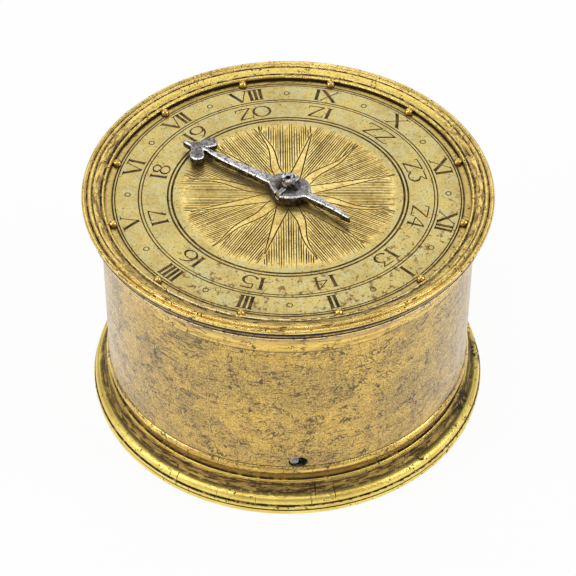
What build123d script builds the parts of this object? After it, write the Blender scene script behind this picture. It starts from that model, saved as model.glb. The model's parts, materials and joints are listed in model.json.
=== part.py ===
from build123d import *
import math
import os

# A drum-cased table clock with one hand. Sizes are in millimetres.
# The origin is the centre of the underside, +Z is up, and -Y is the front, where the catch shows.
# The base stands on the table. The drum, with the dial and the movement, tilts back on a rear hinge.

# Base
base_projection = 3.2
base_plate_thickness = 0.8
base_plate_inset = 0.25
base_height = 6.1
base_ledge_width = 1.6
collar_thickness = 1.2
collar_height = 2.9
collar_clearance = 0.3
collar_rear_gap_deg = 60.0
collar_lead_in = 0.4
base_ledge_height = 2.0

# Drum wall, from the seam above the base to the seam below the rim
wall_radius = 33.85
wall_thickness = 1.35
drum_height = 38.95
foot_projection = 0.45
foot_height = 3.2
cornice_projection = 2.55
cornice_height = 6.65

# Rim that holds the dial
rim_projection = 3.15
rim_height = 1.3
rim_dial_cover = 0.2
rim_spigot_depth = 0.29

# Dial
dial_thickness = 1.26
dial_seat_width = 0.6
dial_edge_clearance = 0.1
twelve_angle = -14.3
hours = 12
pin_edge_distance = 1.0
pin_radius = 0.75
pin_height = 1.1
pin_shank_radius = 0.4
engraved_ring_insets = (1.55, 2.05, 6.3, 6.8, 11.5, 12.2)
engraving_width = 0.16
engraving_depth = 0.08

# Hinge at the rear
hinge_offset = 1.35
hinge_rise = 1.8
hinge_knuckle_radius = 1.25
hinge_pin_radius = 0.6
hinge_length = 14.0
hinge_middle_length = 5.0
hinge_gap = 0.1
hinge_strap_height = 9.0
hinge_strap_thickness = 0.8

# Sliding catch at the front
catch_angle = -86.6
catch_rise = 4.5
slot_length = 3.4
slot_width = 2.2
catch_stud_radius = 0.92
catch_stud_recess = 0.3
catch_play = 0.06
bolt_thickness = 0.7
bolt_width = 2.0
bolt_wall_gap = 0.2
bolt_end_deg = 3.5
bolt_rivet_radius = 0.5
bolt_rivet_depth = 0.7
bolt_rivet_head_radius = 1.1
bolt_rivet_head_height = 0.5
bolt_rivet_left_deg = 8.0
bolt_rivet_right_deg = 15.0
tongue_deg = 5.5
tongue_length = 1.0
tongue_width = 1.2
tongue_height = 0.9
hook_side_gap = 0.35
hook_height_gap = 0.2
hook_wall_gap = 0.3
hook_thickness = 1.1
hook_width = 2.6
hook_notch_depth = 1.6
hook_arm_height = 1.3

# Movement frame
plate_radius = 29.4
top_plate_thickness = 1.2
back_plate_thickness = 1.4
plate_gap = 23.0
motion_gap = 3.9
pillar_circle_radius = 26.6
pillar_first_angle = -10.0
pillar_radius = 1.7
pillar_collar_radius = 2.1
pillar_end_radius = 1.2
pillar_end_length = 1.7
pin_wire_radius = 0.38
pin_wire_length = 5.0
foot_circle_radius = 24.0
foot_first_angle = 35.0
dial_foot_radius = 1.2
dial_foot_end_length = 1.9

# Fits
running_clearance = 0.05
pivot_radius = 0.5
end_shake = 0.15

# Great wheel, fusee and winding work
fusee_angle = 130.0
report_leaves = 10
hour_wheel_teeth = 40
report_module = 0.5
great_teeth = 56
great_module = 0.4
great_thickness = 1.4
great_wheel_drop = 4.0
pipe_radius = 1.75
fusee_arbor_radius = 1.15
fusee_large_radius = 8.6
fusee_small_radius = 5.2
fusee_turns = 8
fusee_pitch = 1.5
fusee_groove_depth = 0.55
ratchet_radius = 5.2
ratchet_teeth = 20
ratchet_thickness = 1.0
ratchet_gap = 0.25
click_thickness = 0.8
click_direction = 200.0
click_spring_start_deg = 40.0
click_spring_end_deg = 6.0
crossing_width = 1.4
click_spring_thickness = 0.35
winding_square = 2.3
winding_square_length = 4.0

# Barrel and mainspring
barrel_direction = -95.0
barrel_distance = 22.9
barrel_radius = 10.4
barrel_height = 13.0
barrel_wall = 0.9
barrel_arbor_radius = 1.5
spring_thickness = 0.35
spring_turns = 8
line_radius = 0.4
line_gap = 0.06
line_turns = 6
line_pitch = 1.5
setup_ratchet_radius = 4.0
setup_ratchet_teeth = 16
setup_ratchet_thickness = 1.0

# Train
second_leaves = 7
second_direction = 10.0
second_teeth = 60
second_module = 0.3
second_thickness = 0.8
contrate_leaves = 8
contrate_direction = -45.0
contrate_teeth = 48
contrate_module = 0.3
contrate_thickness = 0.8
contrate_tooth_height = 1.8
contrate_level = 13.2
crown_leaves = 8
train_arbor_radius = 0.75

# Verge escapement
verge_direction = -80.0
verge_distance = 17.0
crown_teeth = 15
crown_radius = 4.6
crown_rim_thickness = 0.5
crown_height = 3.0
crown_web = 0.6
crown_hub_radius = 1.5
crown_arm_width = 1.1
crown_tooth_depth = 1.6
crown_verge_gap = 2.0
verge_radius = 0.6
pallet_reach = 1.7
pallet_width = 1.6
pallet_thickness = 0.4
pallet_half_angle = 50.0
foliot_length = 20.0
foliot_thickness = 1.0
foliot_width = 1.3
foliot_drop = 2.0
foliot_direction = 60.0
foliot_weight_radius = 2.0
foliot_weight_height = 2.2
cock_drop = 4.4
cock_thickness = 1.2
cock_foot_distance = 8.5
cock_width = 3.2
potence_thickness = 1.6
potence_width = 3.2
potence_bar_height = 1.6

# Hour arbor and hand
hour_wheel_thickness = 1.0
hour_arbor_radius = 1.3
hour_pivot_radius = 0.8
hour_arbor_end = 1.8
hour_arbor_centre_hole = 0.35
friction_spring_radius = 2.8
friction_spring_height = 0.55
friction_spring_thickness = 0.25
hand_angle = 147.0
hand_thickness = 1.3
hub_thickness = 1.9
hub_length = 8.4
hub_width = 7.1
hand_tip_radius = 23.0
hand_lobe_radius = 18.5
hand_head_width = 6.9
hand_bar_width = 2.4
hand_bar_end_width = 1.2
hand_tail_length = 13.75
hand_tail_width = 1.55
hand_tail_end_width = 1.1
hand_tail_set_deg = -3.0
hand_pin_angle = 51.5
hand_pin_radius = 0.5
hand_pin_length = 5.8
hand_pin_depth = 0.25

# Levels worked out from the sizes above
seam_level = base_height
drum_top = seam_level + drum_height
dial_top = drum_top - rim_spigot_depth
dial_seat = dial_top - dial_thickness
top_plate_top = dial_seat - motion_gap
top_plate_under = top_plate_top - top_plate_thickness
back_plate_top = top_plate_under - plate_gap
back_plate_under = back_plate_top - back_plate_thickness
great_level = top_plate_under - great_wheel_drop - great_thickness
second_level = top_plate_under - 1.2 - second_thickness
ratchet_level = great_level - ratchet_gap - click_thickness - ratchet_gap
fusee_top = ratchet_level
fusee_bottom = fusee_top - fusee_turns * fusee_pitch - 0.8
barrel_bottom = fusee_bottom
contrate_disc_level = back_plate_top + contrate_level - contrate_thickness - contrate_tooth_height
contrate_tip_level = back_plate_top + contrate_level
crown_axis_level = contrate_tip_level - 0.3 + contrate_module * crown_leaves / 2
hour_wheel_level = top_plate_top + 1.4
hub_level = dial_top + 0.25
catch_level = seam_level + catch_rise

wall_bore = wall_radius - wall_thickness
collar_radius = wall_bore - collar_clearance
dial_radius = wall_bore + dial_seat_width
pin_circle_radius = dial_radius - pin_edge_distance
engraved_ring_radii = [dial_radius - inset for inset in engraved_ring_insets]
base_radius = wall_radius + base_projection
base_plate_radius = base_radius - base_plate_inset
base_bore_radius = collar_radius - collar_thickness - base_ledge_width
rim_radius = wall_radius + rim_projection
rim_bore_radius = dial_radius - rim_dial_cover
ample = 3 * base_radius
hinge_y = wall_radius + foot_projection + hinge_offset + 0.05
hinge_z = seam_level + hinge_rise


def at(radius, degrees, centre=(0, 0)):
    angle = math.radians(degrees)
    return centre[0] + radius * math.cos(angle), centre[1] + radius * math.sin(angle)


# Places of the arbors in plan
fusee_place = at(report_module * (report_leaves + hour_wheel_teeth) / 2, fusee_angle)
barrel_place = at(barrel_distance, barrel_direction, fusee_place)
second_place = at(great_module * (great_teeth + second_leaves) / 2, second_direction, fusee_place)
contrate_place = at(second_module * (second_teeth + contrate_leaves) / 2, contrate_direction, second_place)
verge_place = at(verge_distance, verge_direction, contrate_place)
crown_direction = verge_direction + 180
contrate_radius = contrate_module * contrate_teeth / 2
crown_pinion_distance = verge_distance - contrate_radius
pillar_places = [at(pillar_circle_radius, pillar_first_angle + 90 * k) for k in range(4)]
dial_foot_places = [at(foot_circle_radius, foot_first_angle + 90 * k) for k in range(4)]
pin_places = [at(pin_circle_radius, twelve_angle - 360 / hours * k) for k in range(hours)]
cock_foot_place = at(cock_foot_distance, foliot_direction + 90, verge_place)


def disc(radius, bottom, top, centre=(0, 0)):
    upright = rod(radius, top - bottom)
    return Pos(centre[0], centre[1], bottom) * upright


def rod(radius, length):
    return Cylinder(radius, length, align=(Align.CENTER, Align.CENTER, Align.MIN))


def ring(bore, radius, bottom, top, centre=(0, 0)):
    return disc(radius, bottom, top, centre) - disc(bore, bottom, top, centre)


def block(length, width, bottom, top, centre=(0, 0), degrees=0):
    upright = Box(length, width, top - bottom, align=(Align.CENTER, Align.CENTER, Align.MIN))
    return Pos(centre[0], centre[1], bottom) * Rot(0, 0, degrees) * upright


def turned(outline):
    return revolve(Plane.XZ * make_face(outline), Axis.Z)


def arc_band(bore, radius, bottom, top, start, end, centre=(0, 0)):
    """Part of a ring, between two directions in plan."""
    section = Pos((bore + radius) / 2, (bottom + top) / 2) * Rectangle(radius - bore, top - bottom)
    band = revolve(Plane.XZ * section, Axis.Z, end - start)
    return Pos(centre[0], centre[1], 0) * Rot(0, 0, start) * band


def flat_rod(radius, start, degrees, length, level):
    """A round rod that lies flat, from a start point, in a direction in plan."""
    place = Plane(origin=(start[0], start[1], level), x_dir=(0, 0, 1), z_dir=(*at(1, degrees), 0))
    return place.location * rod(radius, length)


def toothed(teeth, module, share, tip_share, addendum, dedendum, first_angle):
    """A flat outline of teeth, each a trapezoid that narrows from its root to its tip."""
    pitch_radius = teeth * module / 2
    step = 360 / teeth
    points = []
    for k in range(teeth):
        middle = first_angle + k * step
        points.append(at(pitch_radius - dedendum * module, middle - share * step / 2 - 0.06 * step))
        points.append(at(pitch_radius, middle - share * step / 2))
        points.append(at(pitch_radius + addendum * module, middle - tip_share * step / 2))
        points.append(at(pitch_radius + addendum * module, middle + tip_share * step / 2))
        points.append(at(pitch_radius, middle + share * step / 2))
        points.append(at(pitch_radius - dedendum * module, middle + share * step / 2 + 0.06 * step))
    return make_face(Polyline(*points, close=True))


def wheel(teeth, module, thickness, level, bore, rim_width, hub_radius, centre, first_angle):
    """A wheel crossed out to four arms."""
    root = teeth * module / 2 - 1.25 * module
    rim_bore = root - rim_width
    body = extrude(toothed(teeth, module, 0.42, 0.2, 0.8, 1.25, first_angle), thickness)
    window = extrude(Circle(rim_bore) - Circle(hub_radius), thickness)
    for k in range(2):
        window -= Rot(0, 0, 45 + 90 * k) * Box(3 * rim_bore, 1.5, 3 * thickness)
    body -= window
    body -= Cylinder(bore, 3 * thickness)
    return Pos(centre[0], centre[1], level) * body


def pinion(leaves, module, length, level, bore, centre, first_angle):
    body = extrude(toothed(leaves, module, 0.36, 0.16, 0.75, 1.2, first_angle), length)
    if bore:
        body -= Cylinder(bore, 3 * length)
    return Pos(centre[0], centre[1], level) * body


def saw_wheel(teeth, radius, thickness, depth, level, bore, centre, lean):
    """A ratchet: each tooth has one straight face and one long back."""
    points = []
    for k in range(teeth):
        start = k * 360 / teeth
        points.append(at(radius - depth, lean * start))
        points.append(at(radius, lean * start))
    body = extrude(make_face(Polyline(*points, close=True)), thickness)
    body -= Cylinder(bore, 3 * thickness)
    return Pos(centre[0], centre[1], level) * body


# The base

def base_ring():
    """Moulded foot: a fine bead, a broad ovolo, a cavetto and a top bead, with the collar inside."""
    r = base_radius
    z = base_plate_thickness
    collar_top = base_height + collar_height
    collar_bore = collar_radius - collar_thickness
    ledge = z + base_ledge_height
    outline = Curve() + [
        Line((base_bore_radius, z), (r - 0.85, z)),
        Line((r - 0.85, z), (r - 0.8, z + 0.25)),
        Line((r - 0.8, z + 0.25), (r - 0.4, z + 0.27)),
        ThreePointArc((r - 0.4, z + 0.27), (r, z + 0.75), (r - 0.35, z + 1.25)),
        Line((r - 0.35, z + 1.25), (r - 0.35, z + 1.35)),
        ThreePointArc((r - 0.35, z + 1.35), (r - 0.33, z + 2.05), (r - 1.55, z + 2.95)),
        Line((r - 1.55, z + 2.95), (r - 1.7, z + 3.05)),
        ThreePointArc((r - 1.7, z + 3.05), (r - 2.2, z + 3.6), (r - 2.4, z + 4.35)),
        Line((r - 2.4, z + 4.35), (r - 2.5, z + 4.45)),
        ThreePointArc((r - 2.5, z + 4.45), (r - 2.45, z + 4.85), (r - 2.9, z + 5.12)),
        Line((r - 2.9, z + 5.12), (r - 3.15, base_height)),
        Line((r - 3.15, base_height), (collar_radius, base_height)),
        Line((collar_radius, base_height), (collar_radius, collar_top - collar_lead_in)),
        Line((collar_radius, collar_top - collar_lead_in), (collar_radius - collar_lead_in, collar_top)),
        Line((collar_radius - collar_lead_in, collar_top), (collar_bore, collar_top)),
        Line((collar_bore, collar_top), (collar_bore, ledge)),
        Line((collar_bore, ledge), (base_bore_radius, ledge)),
        Line((base_bore_radius, ledge), (base_bore_radius, z)),
    ]
    body = turned(outline)
    rear_gap = 2 * collar_radius * math.tan(math.radians(collar_rear_gap_deg / 2))
    reach = 2 * collar_thickness + 6
    body -= block(rear_gap, reach, base_height, base_height + 2 * collar_height, (0, collar_radius))
    return body + catch_hook()


def catch_hook():
    """Post inside the collar with a notch that the bolt's tongue slides into."""
    radius = bolt_inner_radius() - hook_wall_gap - hook_thickness / 2
    reach = tongue_width / 2 + hook_side_gap + hook_width / 2
    degrees = bolt_tongue_angle() + math.degrees(reach / radius)
    top = catch_level + tongue_height / 2 + hook_height_gap + hook_arm_height
    foot = base_plate_thickness + base_ledge_height
    post = block(hook_thickness, hook_width, foot, top, at(radius, degrees), degrees)
    notch_centre = at(hook_notch_depth - hook_width, degrees + 90, at(radius, degrees))
    notch_half = tongue_height / 2 + hook_height_gap
    low, high = catch_level - notch_half, catch_level + notch_half
    notch = block(3 * hook_thickness, hook_width, low, high, notch_centre, degrees)
    return post - notch


def base_plate():
    """Floor of the base, a plain disc whose edge shows below the mouldings."""
    return disc(base_plate_radius, 0, base_plate_thickness)


def knuckle(start, end):
    sleeve = Cylinder(hinge_knuckle_radius, end - start) - Cylinder(hinge_pin_radius, end - start)
    return Pos((start + end) / 2, hinge_y, hinge_z) * Rot(0, 90, 0) * sleeve


def pin_bore():
    bore = Cylinder(hinge_pin_radius + running_clearance, 2 * hinge_length)
    return Pos(0, hinge_y, hinge_z) * Rot(0, 90, 0) * bore


def hinge_base_leaf():
    """Two knuckles on posts that sit on the foot moulding."""
    half = hinge_length / 2
    inner = hinge_middle_length / 2 + hinge_gap
    leaf = Part()
    ring_solid = base_ring()
    for side in (-1, 1):
        start, end = sorted((side * inner, side * half))
        post = Pos((start + end) / 2, hinge_y, 0) * Box(end - start, 1.6, 2 * hinge_z)
        post = post & block(ample, ample, base_plate_thickness + 1.7, hinge_z)
        post -= Pos(0, hinge_y, hinge_z) * Rot(0, 90, 0) * Cylinder(hinge_pin_radius, 2 * hinge_length)
        leaf += post + knuckle(start, end)
    return leaf - ring_solid


def hinge_drum_leaf():
    """One knuckle with a strap up the back of the drum."""
    half = hinge_middle_length / 2
    strap_bottom = seam_level + foot_height
    strap_half_deg = math.degrees(math.asin(half / wall_radius))
    strap = arc_band(
        wall_radius, wall_radius + hinge_strap_thickness,
        strap_bottom, strap_bottom + hinge_strap_height, 90 - strap_half_deg, 90 + strap_half_deg,
    )
    neck = Pos(0, hinge_y, 0) * Box(hinge_middle_length, 2 * hinge_knuckle_radius, 2 * ample)
    neck = neck & block(ample, ample, hinge_z, strap_bottom + 0.9)
    neck -= pin_bore()
    web_bottom = strap_bottom
    web = Pos(0, (wall_radius + hinge_y) / 2, 0) * Box(hinge_middle_length, hinge_y - wall_radius, 2 * ample)
    web = web & block(ample, ample, web_bottom, strap_bottom + 0.9)
    leaf = strap + neck + web + knuckle(-half, half)
    leaf -= disc(wall_radius, 0, 2 * drum_top)
    leaf -= pin_bore()
    return leaf


def hinge_pin():
    return Pos(0, hinge_y, hinge_z) * Rot(0, 90, 0) * Cylinder(hinge_pin_radius, hinge_length)


# The drum

def drum_wall():
    """Plain band with a foot bead, a flared cornice and a rebate for the dial."""
    r = wall_radius
    low = seam_level
    top = drum_top
    cornice = top - cornice_height
    rebate = dial_radius + dial_edge_clearance
    outline = Curve() + [
        Line((wall_bore, low), (r - 0.1, low)),
        ThreePointArc((r - 0.1, low), (r + 0.05, low + 1.1), (r + 0.38, low + 1.9)),
        ThreePointArc((r + 0.38, low + 1.9), (r + foot_projection, low + 2.45), (r, low + foot_height)),
        Line((r, low + foot_height), (r, cornice)),
        ThreePointArc((r, cornice), (r + 0.28, cornice + 0.3), (r + 0.35, cornice + 0.9)),
        Line((r + 0.35, cornice + 0.9), (r + 0.35, cornice + 1.8)),
        ThreePointArc((r + 0.35, cornice + 1.8), (r + 0.8, cornice + 3.8), (r + 2.2, top - 1.35)),
        ThreePointArc((r + 2.2, top - 1.35), (r + cornice_projection, top - 1.1), (r + 2.3, top - 0.85)),
        Line((r + 2.3, top - 0.85), (r + cornice_projection, top - 0.65)),
        Line((r + cornice_projection, top - 0.65), (r + cornice_projection, top - 0.2)),
        Line((r + cornice_projection, top - 0.2), (r + cornice_projection - 0.2, top)),
        Line((r + cornice_projection - 0.2, top), (rebate, top)),
        Line((rebate, top), (rebate, dial_seat)),
        Line((rebate, dial_seat), (wall_bore, dial_seat)),
        Line((wall_bore, dial_seat), (wall_bore, low)),
    ]
    body = turned(outline)
    body -= catch_slot()
    for rivet in bolt_rivet_shanks():
        body -= rivet
    return body


def radial_place(radius, degrees, level):
    """A place on the wall whose own Z points outwards and whose own X points along the wall."""
    x, y = at(radius, degrees)
    along = at(1, degrees + 90)
    outward = at(1, degrees)
    return Plane(origin=(x, y, level), x_dir=(*along, 0), z_dir=(*outward, 0)).location


def catch_slot():
    place = radial_place(wall_bore - 1, catch_angle, catch_level)
    return place * extrude(SlotOverall(slot_length, slot_width), wall_thickness + 3)


def stud_angle():
    """The stud rests at the left end of its slot."""
    shift = (slot_length / 2 - catch_stud_radius - catch_play) / wall_radius
    return catch_angle - math.degrees(shift)


def bolt_outer_radius():
    return wall_bore - bolt_wall_gap


def bolt_inner_radius():
    return bolt_outer_radius() - bolt_thickness


def bolt_tongue_angle():
    return stud_angle() + tongue_deg


def bolt_rivet_angles():
    return [stud_angle() - bolt_rivet_left_deg, stud_angle() + bolt_rivet_right_deg]


def bolt_rivet_shanks():
    """Shanks that stand in blind holes in the wall."""
    shanks = []
    for degrees in bolt_rivet_angles():
        inner = bolt_inner_radius() - hook_wall_gap
        place = radial_place(inner, degrees, catch_level)
        length = wall_bore + bolt_rivet_depth - inner
        shanks.append(place * rod(bolt_rivet_radius, length))
    return shanks


def catch_rivets():
    """Two headed rivets that hold the bolt against the wall."""
    group = []
    for degrees, shank in zip(bolt_rivet_angles(), bolt_rivet_shanks()):
        head_radius = bolt_inner_radius() - hook_wall_gap - bolt_rivet_head_height
        head_place = radial_place(head_radius, degrees, catch_level)
        head = Cylinder(
            bolt_rivet_head_radius, bolt_rivet_head_height, align=(Align.CENTER, Align.CENTER, Align.MIN),
        )
        group.append(shank + head_place * head)
    return group


def catch_bolt():
    """Curved slide with the stud that shows in the slot and a tongue for the hook."""
    outer = bolt_outer_radius()
    low = catch_level - bolt_width / 2
    left, right = bolt_rivet_angles()
    band = arc_band(
        bolt_inner_radius(), outer, low, low + bolt_width, left - bolt_end_deg, right + bolt_end_deg,
    )
    stud_length = wall_radius - catch_stud_recess - outer + 0.3
    stud = rod(catch_stud_radius, stud_length)
    stud = fillet(stud.edges().filter_by(GeomType.CIRCLE).sort_by(Axis.Z)[-1], 0.25)
    band += radial_place(outer - 0.3, stud_angle(), catch_level) * stud
    tongue = block(
        tongue_length + 0.2,
        tongue_width,
        catch_level - tongue_height / 2,
        catch_level + tongue_height / 2,
        at(bolt_inner_radius() - tongue_length / 2 + 0.1, bolt_tongue_angle()),
        bolt_tongue_angle(),
    )
    band += tongue
    travel = slot_length - 2 * catch_stud_radius
    hole = SlotOverall(travel + 2 * bolt_rivet_radius + 0.3, 2 * bolt_rivet_radius + 0.2)
    for degrees in bolt_rivet_angles():
        # the rivet stands at the right end of its hole while the stud is at the left of the slot
        shifted = degrees + math.degrees(-travel / 2 / wall_bore)
        band -= radial_place(outer - 3, shifted, catch_level) * extrude(hole, 4)
    return band


def rim():
    """Moulded ring that clamps the dial: two outer beads, a sloping band and a fine inner lip."""
    r = rim_radius
    z = drum_top
    bore = rim_bore_radius
    spigot = dial_radius + dial_edge_clearance
    outline = Curve() + [
        Line((bore, z - rim_spigot_depth), (spigot, z - rim_spigot_depth)),
        Line((spigot, z - rim_spigot_depth), (spigot, z)),
        Line((spigot, z), (r - 0.75, z)),
        Line((r - 0.75, z), (r - 0.7, z + 0.35)),
        Line((r - 0.7, z + 0.35), (r - 0.25, z + 0.45)),
        ThreePointArc((r - 0.25, z + 0.45), (r, z + 0.8), (r - 0.5, z + 1.2)),
        Line((r - 0.5, z + 1.2), (r - 0.98, z + 0.92)),
        ThreePointArc((r - 0.98, z + 0.92), (r - 1.4, z + rim_height), (r - 1.85, z + 1.02)),
        Line((r - 1.85, z + 1.02), (r - 1.95, z + 1.0)),
        ThreePointArc((r - 1.95, z + 1.0), (r - 2.6, z + 0.88), (r - 3.35, z + 0.5)),
        Line((r - 3.35, z + 0.5), (r - 3.5, z + 0.42)),
        ThreePointArc((r - 3.5, z + 0.42), (r - 3.75, z + 0.56), (bore, z + 0.3)),
        Line((bore, z + 0.3), (bore, z - rim_spigot_depth)),
    ]
    return turned(outline)


def dial():
    """Flat plate with holes for the pins and the hour arbor, and its engraved rings."""
    plate = disc(dial_radius, dial_seat, dial_top)
    plate -= disc(hour_arbor_radius + running_clearance, dial_seat - 1, dial_top + 1)
    half = engraving_width / 2
    for radius in engraved_ring_radii:
        plate -= ring(radius - half, radius + half, dial_top - engraving_depth, dial_top)
    for place in pin_places:
        plate -= disc(pin_shank_radius, dial_seat, dial_top, place)
    return plate


def touch_pins():
    """One domed stud at each hour, to be felt in the dark."""
    group = []
    for place in pin_places:
        shank = disc(pin_shank_radius, dial_seat, dial_top, place)
        neck = disc(pin_radius, dial_top, dial_top + pin_height - pin_radius, place)
        dome = Pos(place[0], place[1], dial_top + pin_height - pin_radius) * Sphere(pin_radius)
        dome = dome & block(4, 4, dial_top, dial_top + 4, place)
        group.append(shank + neck + dome)
    return group


# The movement frame

def cross_pins(places, level, first_angle):
    """Taper pins, each through the end of a post, square to its radius."""
    group = []
    for k, place in enumerate(places):
        degrees = first_angle + 90 * k + 90
        x, y = at(-pin_wire_length / 2, degrees, place)
        lay = Plane(origin=(x, y, level), x_dir=(0, 0, 1), z_dir=(*at(1, degrees), 0)).location
        taper = Cone(pin_wire_radius, 0.6 * pin_wire_radius, pin_wire_length)
        group.append(lay * Pos(0, 0, pin_wire_length / 2) * taper)
    return group


def pillar_pins():
    return cross_pins(pillar_places, top_plate_top + pin_wire_radius, pillar_first_angle)


def pillars():
    """Four turned pillars, riveted to the back plate and pinned above the top plate."""
    group = []
    waist = pillar_radius * 0.7
    low = back_plate_top
    high = top_plate_under
    end = top_plate_top + pillar_end_length
    for place, pin in zip(pillar_places, pillar_pins()):
        outline = Curve() + [
            Line((0, back_plate_under), (pillar_end_radius, back_plate_under)),
            Line((pillar_end_radius, back_plate_under), (pillar_end_radius, low)),
            Line((pillar_end_radius, low), (pillar_collar_radius, low)),
            Line((pillar_collar_radius, low), (pillar_collar_radius, low + 1)),
            Line((pillar_collar_radius, low + 1), (pillar_radius, low + 1.5)),
            ThreePointArc((pillar_radius, low + 1.5), (waist, (low + high) / 2), (pillar_radius, high - 1.5)),
            Line((pillar_radius, high - 1.5), (pillar_collar_radius, high - 1)),
            Line((pillar_collar_radius, high - 1), (pillar_collar_radius, high)),
            Line((pillar_collar_radius, high), (pillar_end_radius, high)),
            Line((pillar_end_radius, high), (pillar_end_radius, end)),
            Line((pillar_end_radius, end), (0, end)),
            Line((0, end), (0, back_plate_under)),
        ]
        group.append(Pos(place[0], place[1], 0) * turned(outline) - pin)
    return group


def dial_foot_pins():
    return cross_pins(dial_foot_places, top_plate_under - pin_wire_radius, foot_first_angle)


def dial_feet():
    """Four posts under the dial, pinned below the top plate."""
    group = []
    for place, pin in zip(dial_foot_places, dial_foot_pins()):
        post = disc(1.5 * dial_foot_radius, top_plate_top, dial_seat, place)
        post += disc(dial_foot_radius, top_plate_under - dial_foot_end_length, top_plate_top, place)
        group.append(post - pin)
    return group


def top_plate():
    plate = disc(plate_radius, top_plate_under, top_plate_top)
    for place in pillar_places:
        plate -= disc(pillar_end_radius, top_plate_under, top_plate_top, place)
    for place in dial_foot_places:
        plate -= disc(dial_foot_radius, top_plate_under, top_plate_top, place)
    for place in (second_place, contrate_place):
        plate -= disc(pivot_radius + running_clearance, top_plate_under, top_plate_top, place)
    plate -= disc(pipe_radius + running_clearance, top_plate_under, top_plate_top, fusee_place)
    plate -= disc(1.0, top_plate_under, top_plate_top, barrel_place)
    plate -= disc(hour_pivot_radius + running_clearance, top_plate_under, top_plate_top)
    return plate


def back_plate():
    plate = disc(plate_radius, back_plate_under, back_plate_top)
    for place in pillar_places:
        plate -= disc(pillar_end_radius, back_plate_under, back_plate_top, place)
    for place in (second_place, contrate_place):
        plate -= disc(pivot_radius + running_clearance, back_plate_under, back_plate_top, place)
    plate -= disc(fusee_lower_radius() + running_clearance, back_plate_under, back_plate_top, fusee_place)
    plate -= disc(barrel_arbor_radius, back_plate_under, back_plate_top, barrel_place)
    plate -= disc(2 * verge_radius, back_plate_under, back_plate_top, verge_place)
    for pin in cock_pins():
        plate -= pin
    return plate


# Power: barrel, mainspring, line, fusee and great wheel

def barrel():
    """Drum that the mainspring turns, closed below and lidded above."""
    body = disc(barrel_radius, barrel_bottom, barrel_bottom + barrel_height, barrel_place)
    cavity = barrel_radius - barrel_wall
    body -= disc(cavity, barrel_bottom + barrel_wall, barrel_bottom + barrel_height, barrel_place)
    bore = barrel_arbor_radius + running_clearance
    body -= disc(bore, barrel_bottom, barrel_bottom + barrel_wall, barrel_place)
    return body


def barrel_lid():
    top = barrel_bottom + barrel_height
    bore = barrel_arbor_radius + running_clearance
    return ring(bore, barrel_radius - barrel_wall, top - barrel_wall, top, barrel_place)


def barrel_arbor():
    """Fixed arbor, held against the spring by the set-up ratchet below the back plate."""
    low = back_plate_under - setup_ratchet_thickness - 1.2
    arbor = disc(barrel_arbor_radius, low, top_plate_under, barrel_place)
    return arbor + disc(1.0, top_plate_under, top_plate_top, barrel_place)


def mainspring():
    """Flat spiral strip inside the barrel."""
    outer = barrel_radius - barrel_wall - 0.1
    inner = barrel_arbor_radius + 0.6
    samples = 12 * spring_turns
    rise = (outer - inner - spring_thickness) / samples
    outside = [at(inner + spring_thickness + rise * k, 30 * k) for k in range(samples + 1)]
    inside = [at(inner + rise * k, 30 * k) for k in range(samples + 1)]
    strip = Spline(*outside) + Line(outside[-1], inside[-1])
    strip = strip + Spline(*reversed(inside)) + Line(inside[0], outside[0])
    height = barrel_height - 2 * barrel_wall - 0.4
    body = extrude(make_face(strip), height)
    return Pos(barrel_place[0], barrel_place[1], barrel_bottom + barrel_wall + 0.2) * body


def setup_ratchet():
    level = back_plate_under - 0.2 - setup_ratchet_thickness
    return saw_wheel(
        setup_ratchet_teeth, setup_ratchet_radius, setup_ratchet_thickness, 0.6, level,
        barrel_arbor_radius, barrel_place, 1,
    )


def setup_click():
    """Pawl that holds the set-up ratchet, on a rivet in the back plate."""
    level = back_plate_under - 0.2 - setup_ratchet_thickness
    pivot = at(setup_ratchet_radius + 3.2, 115, barrel_place)
    nose = at(setup_ratchet_radius + 0.1, 90, barrel_place)
    middle = ((pivot[0] + nose[0]) / 2, (pivot[1] + nose[1]) / 2)
    span = math.dist(pivot, nose)
    angle = math.degrees(math.atan2(nose[1] - pivot[1], nose[0] - pivot[0]))
    arm = block(span, 1.1, level, level + setup_ratchet_thickness, middle, angle)
    arm -= disc(setup_ratchet_radius + 0.03, level - 1, level + 3, barrel_place)
    boss = disc(1.3, level, back_plate_under, pivot)
    return arm + boss


def line_level():
    """The line leaves the barrel level with the fusee's largest groove."""
    return fusee_top - 0.4 - fusee_pitch / 2


def gut_line():
    """Gut line, wound on the barrel as when the clock has run down, and led to the fusee."""
    wound = barrel_radius + line_radius + line_gap
    led = fusee_large_radius - fusee_groove_depth + line_radius + line_gap
    reach = math.dist(barrel_place, fusee_place)
    bearing = math.degrees(math.atan2(fusee_place[1] - barrel_place[1], fusee_place[0] - barrel_place[0]))
    # the outer common tangent of the two round paths
    lean = math.degrees(math.acos((wound - led) / reach))
    leave = bearing - lean
    start = at(wound, leave, barrel_place)
    end = at(led, leave, fusee_place)
    level = line_level()
    coil = Helix(line_pitch, line_pitch * line_turns, wound)
    section = Plane(origin=coil @ 0, z_dir=coil % 0) * Circle(line_radius)
    turns = sweep(section, path=coil)
    turns = Pos(barrel_place[0], barrel_place[1], level - line_pitch * line_turns) * Rot(0, 0, leave) * turns
    run = math.dist(start, end)
    course = math.degrees(math.atan2(end[1] - start[1], end[0] - start[0]))
    straight = flat_rod(line_radius, start, course, run, level)
    around = Plane.XZ * Pos(led, 0) * Circle(line_radius)
    wrap = revolve(around, Axis.Z, 100)
    wrap = Pos(fusee_place[0], fusee_place[1], level) * Rot(0, 0, leave) * wrap
    joint = Pos(*start, level) * Sphere(line_radius)
    return turns + joint + straight + wrap


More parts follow.
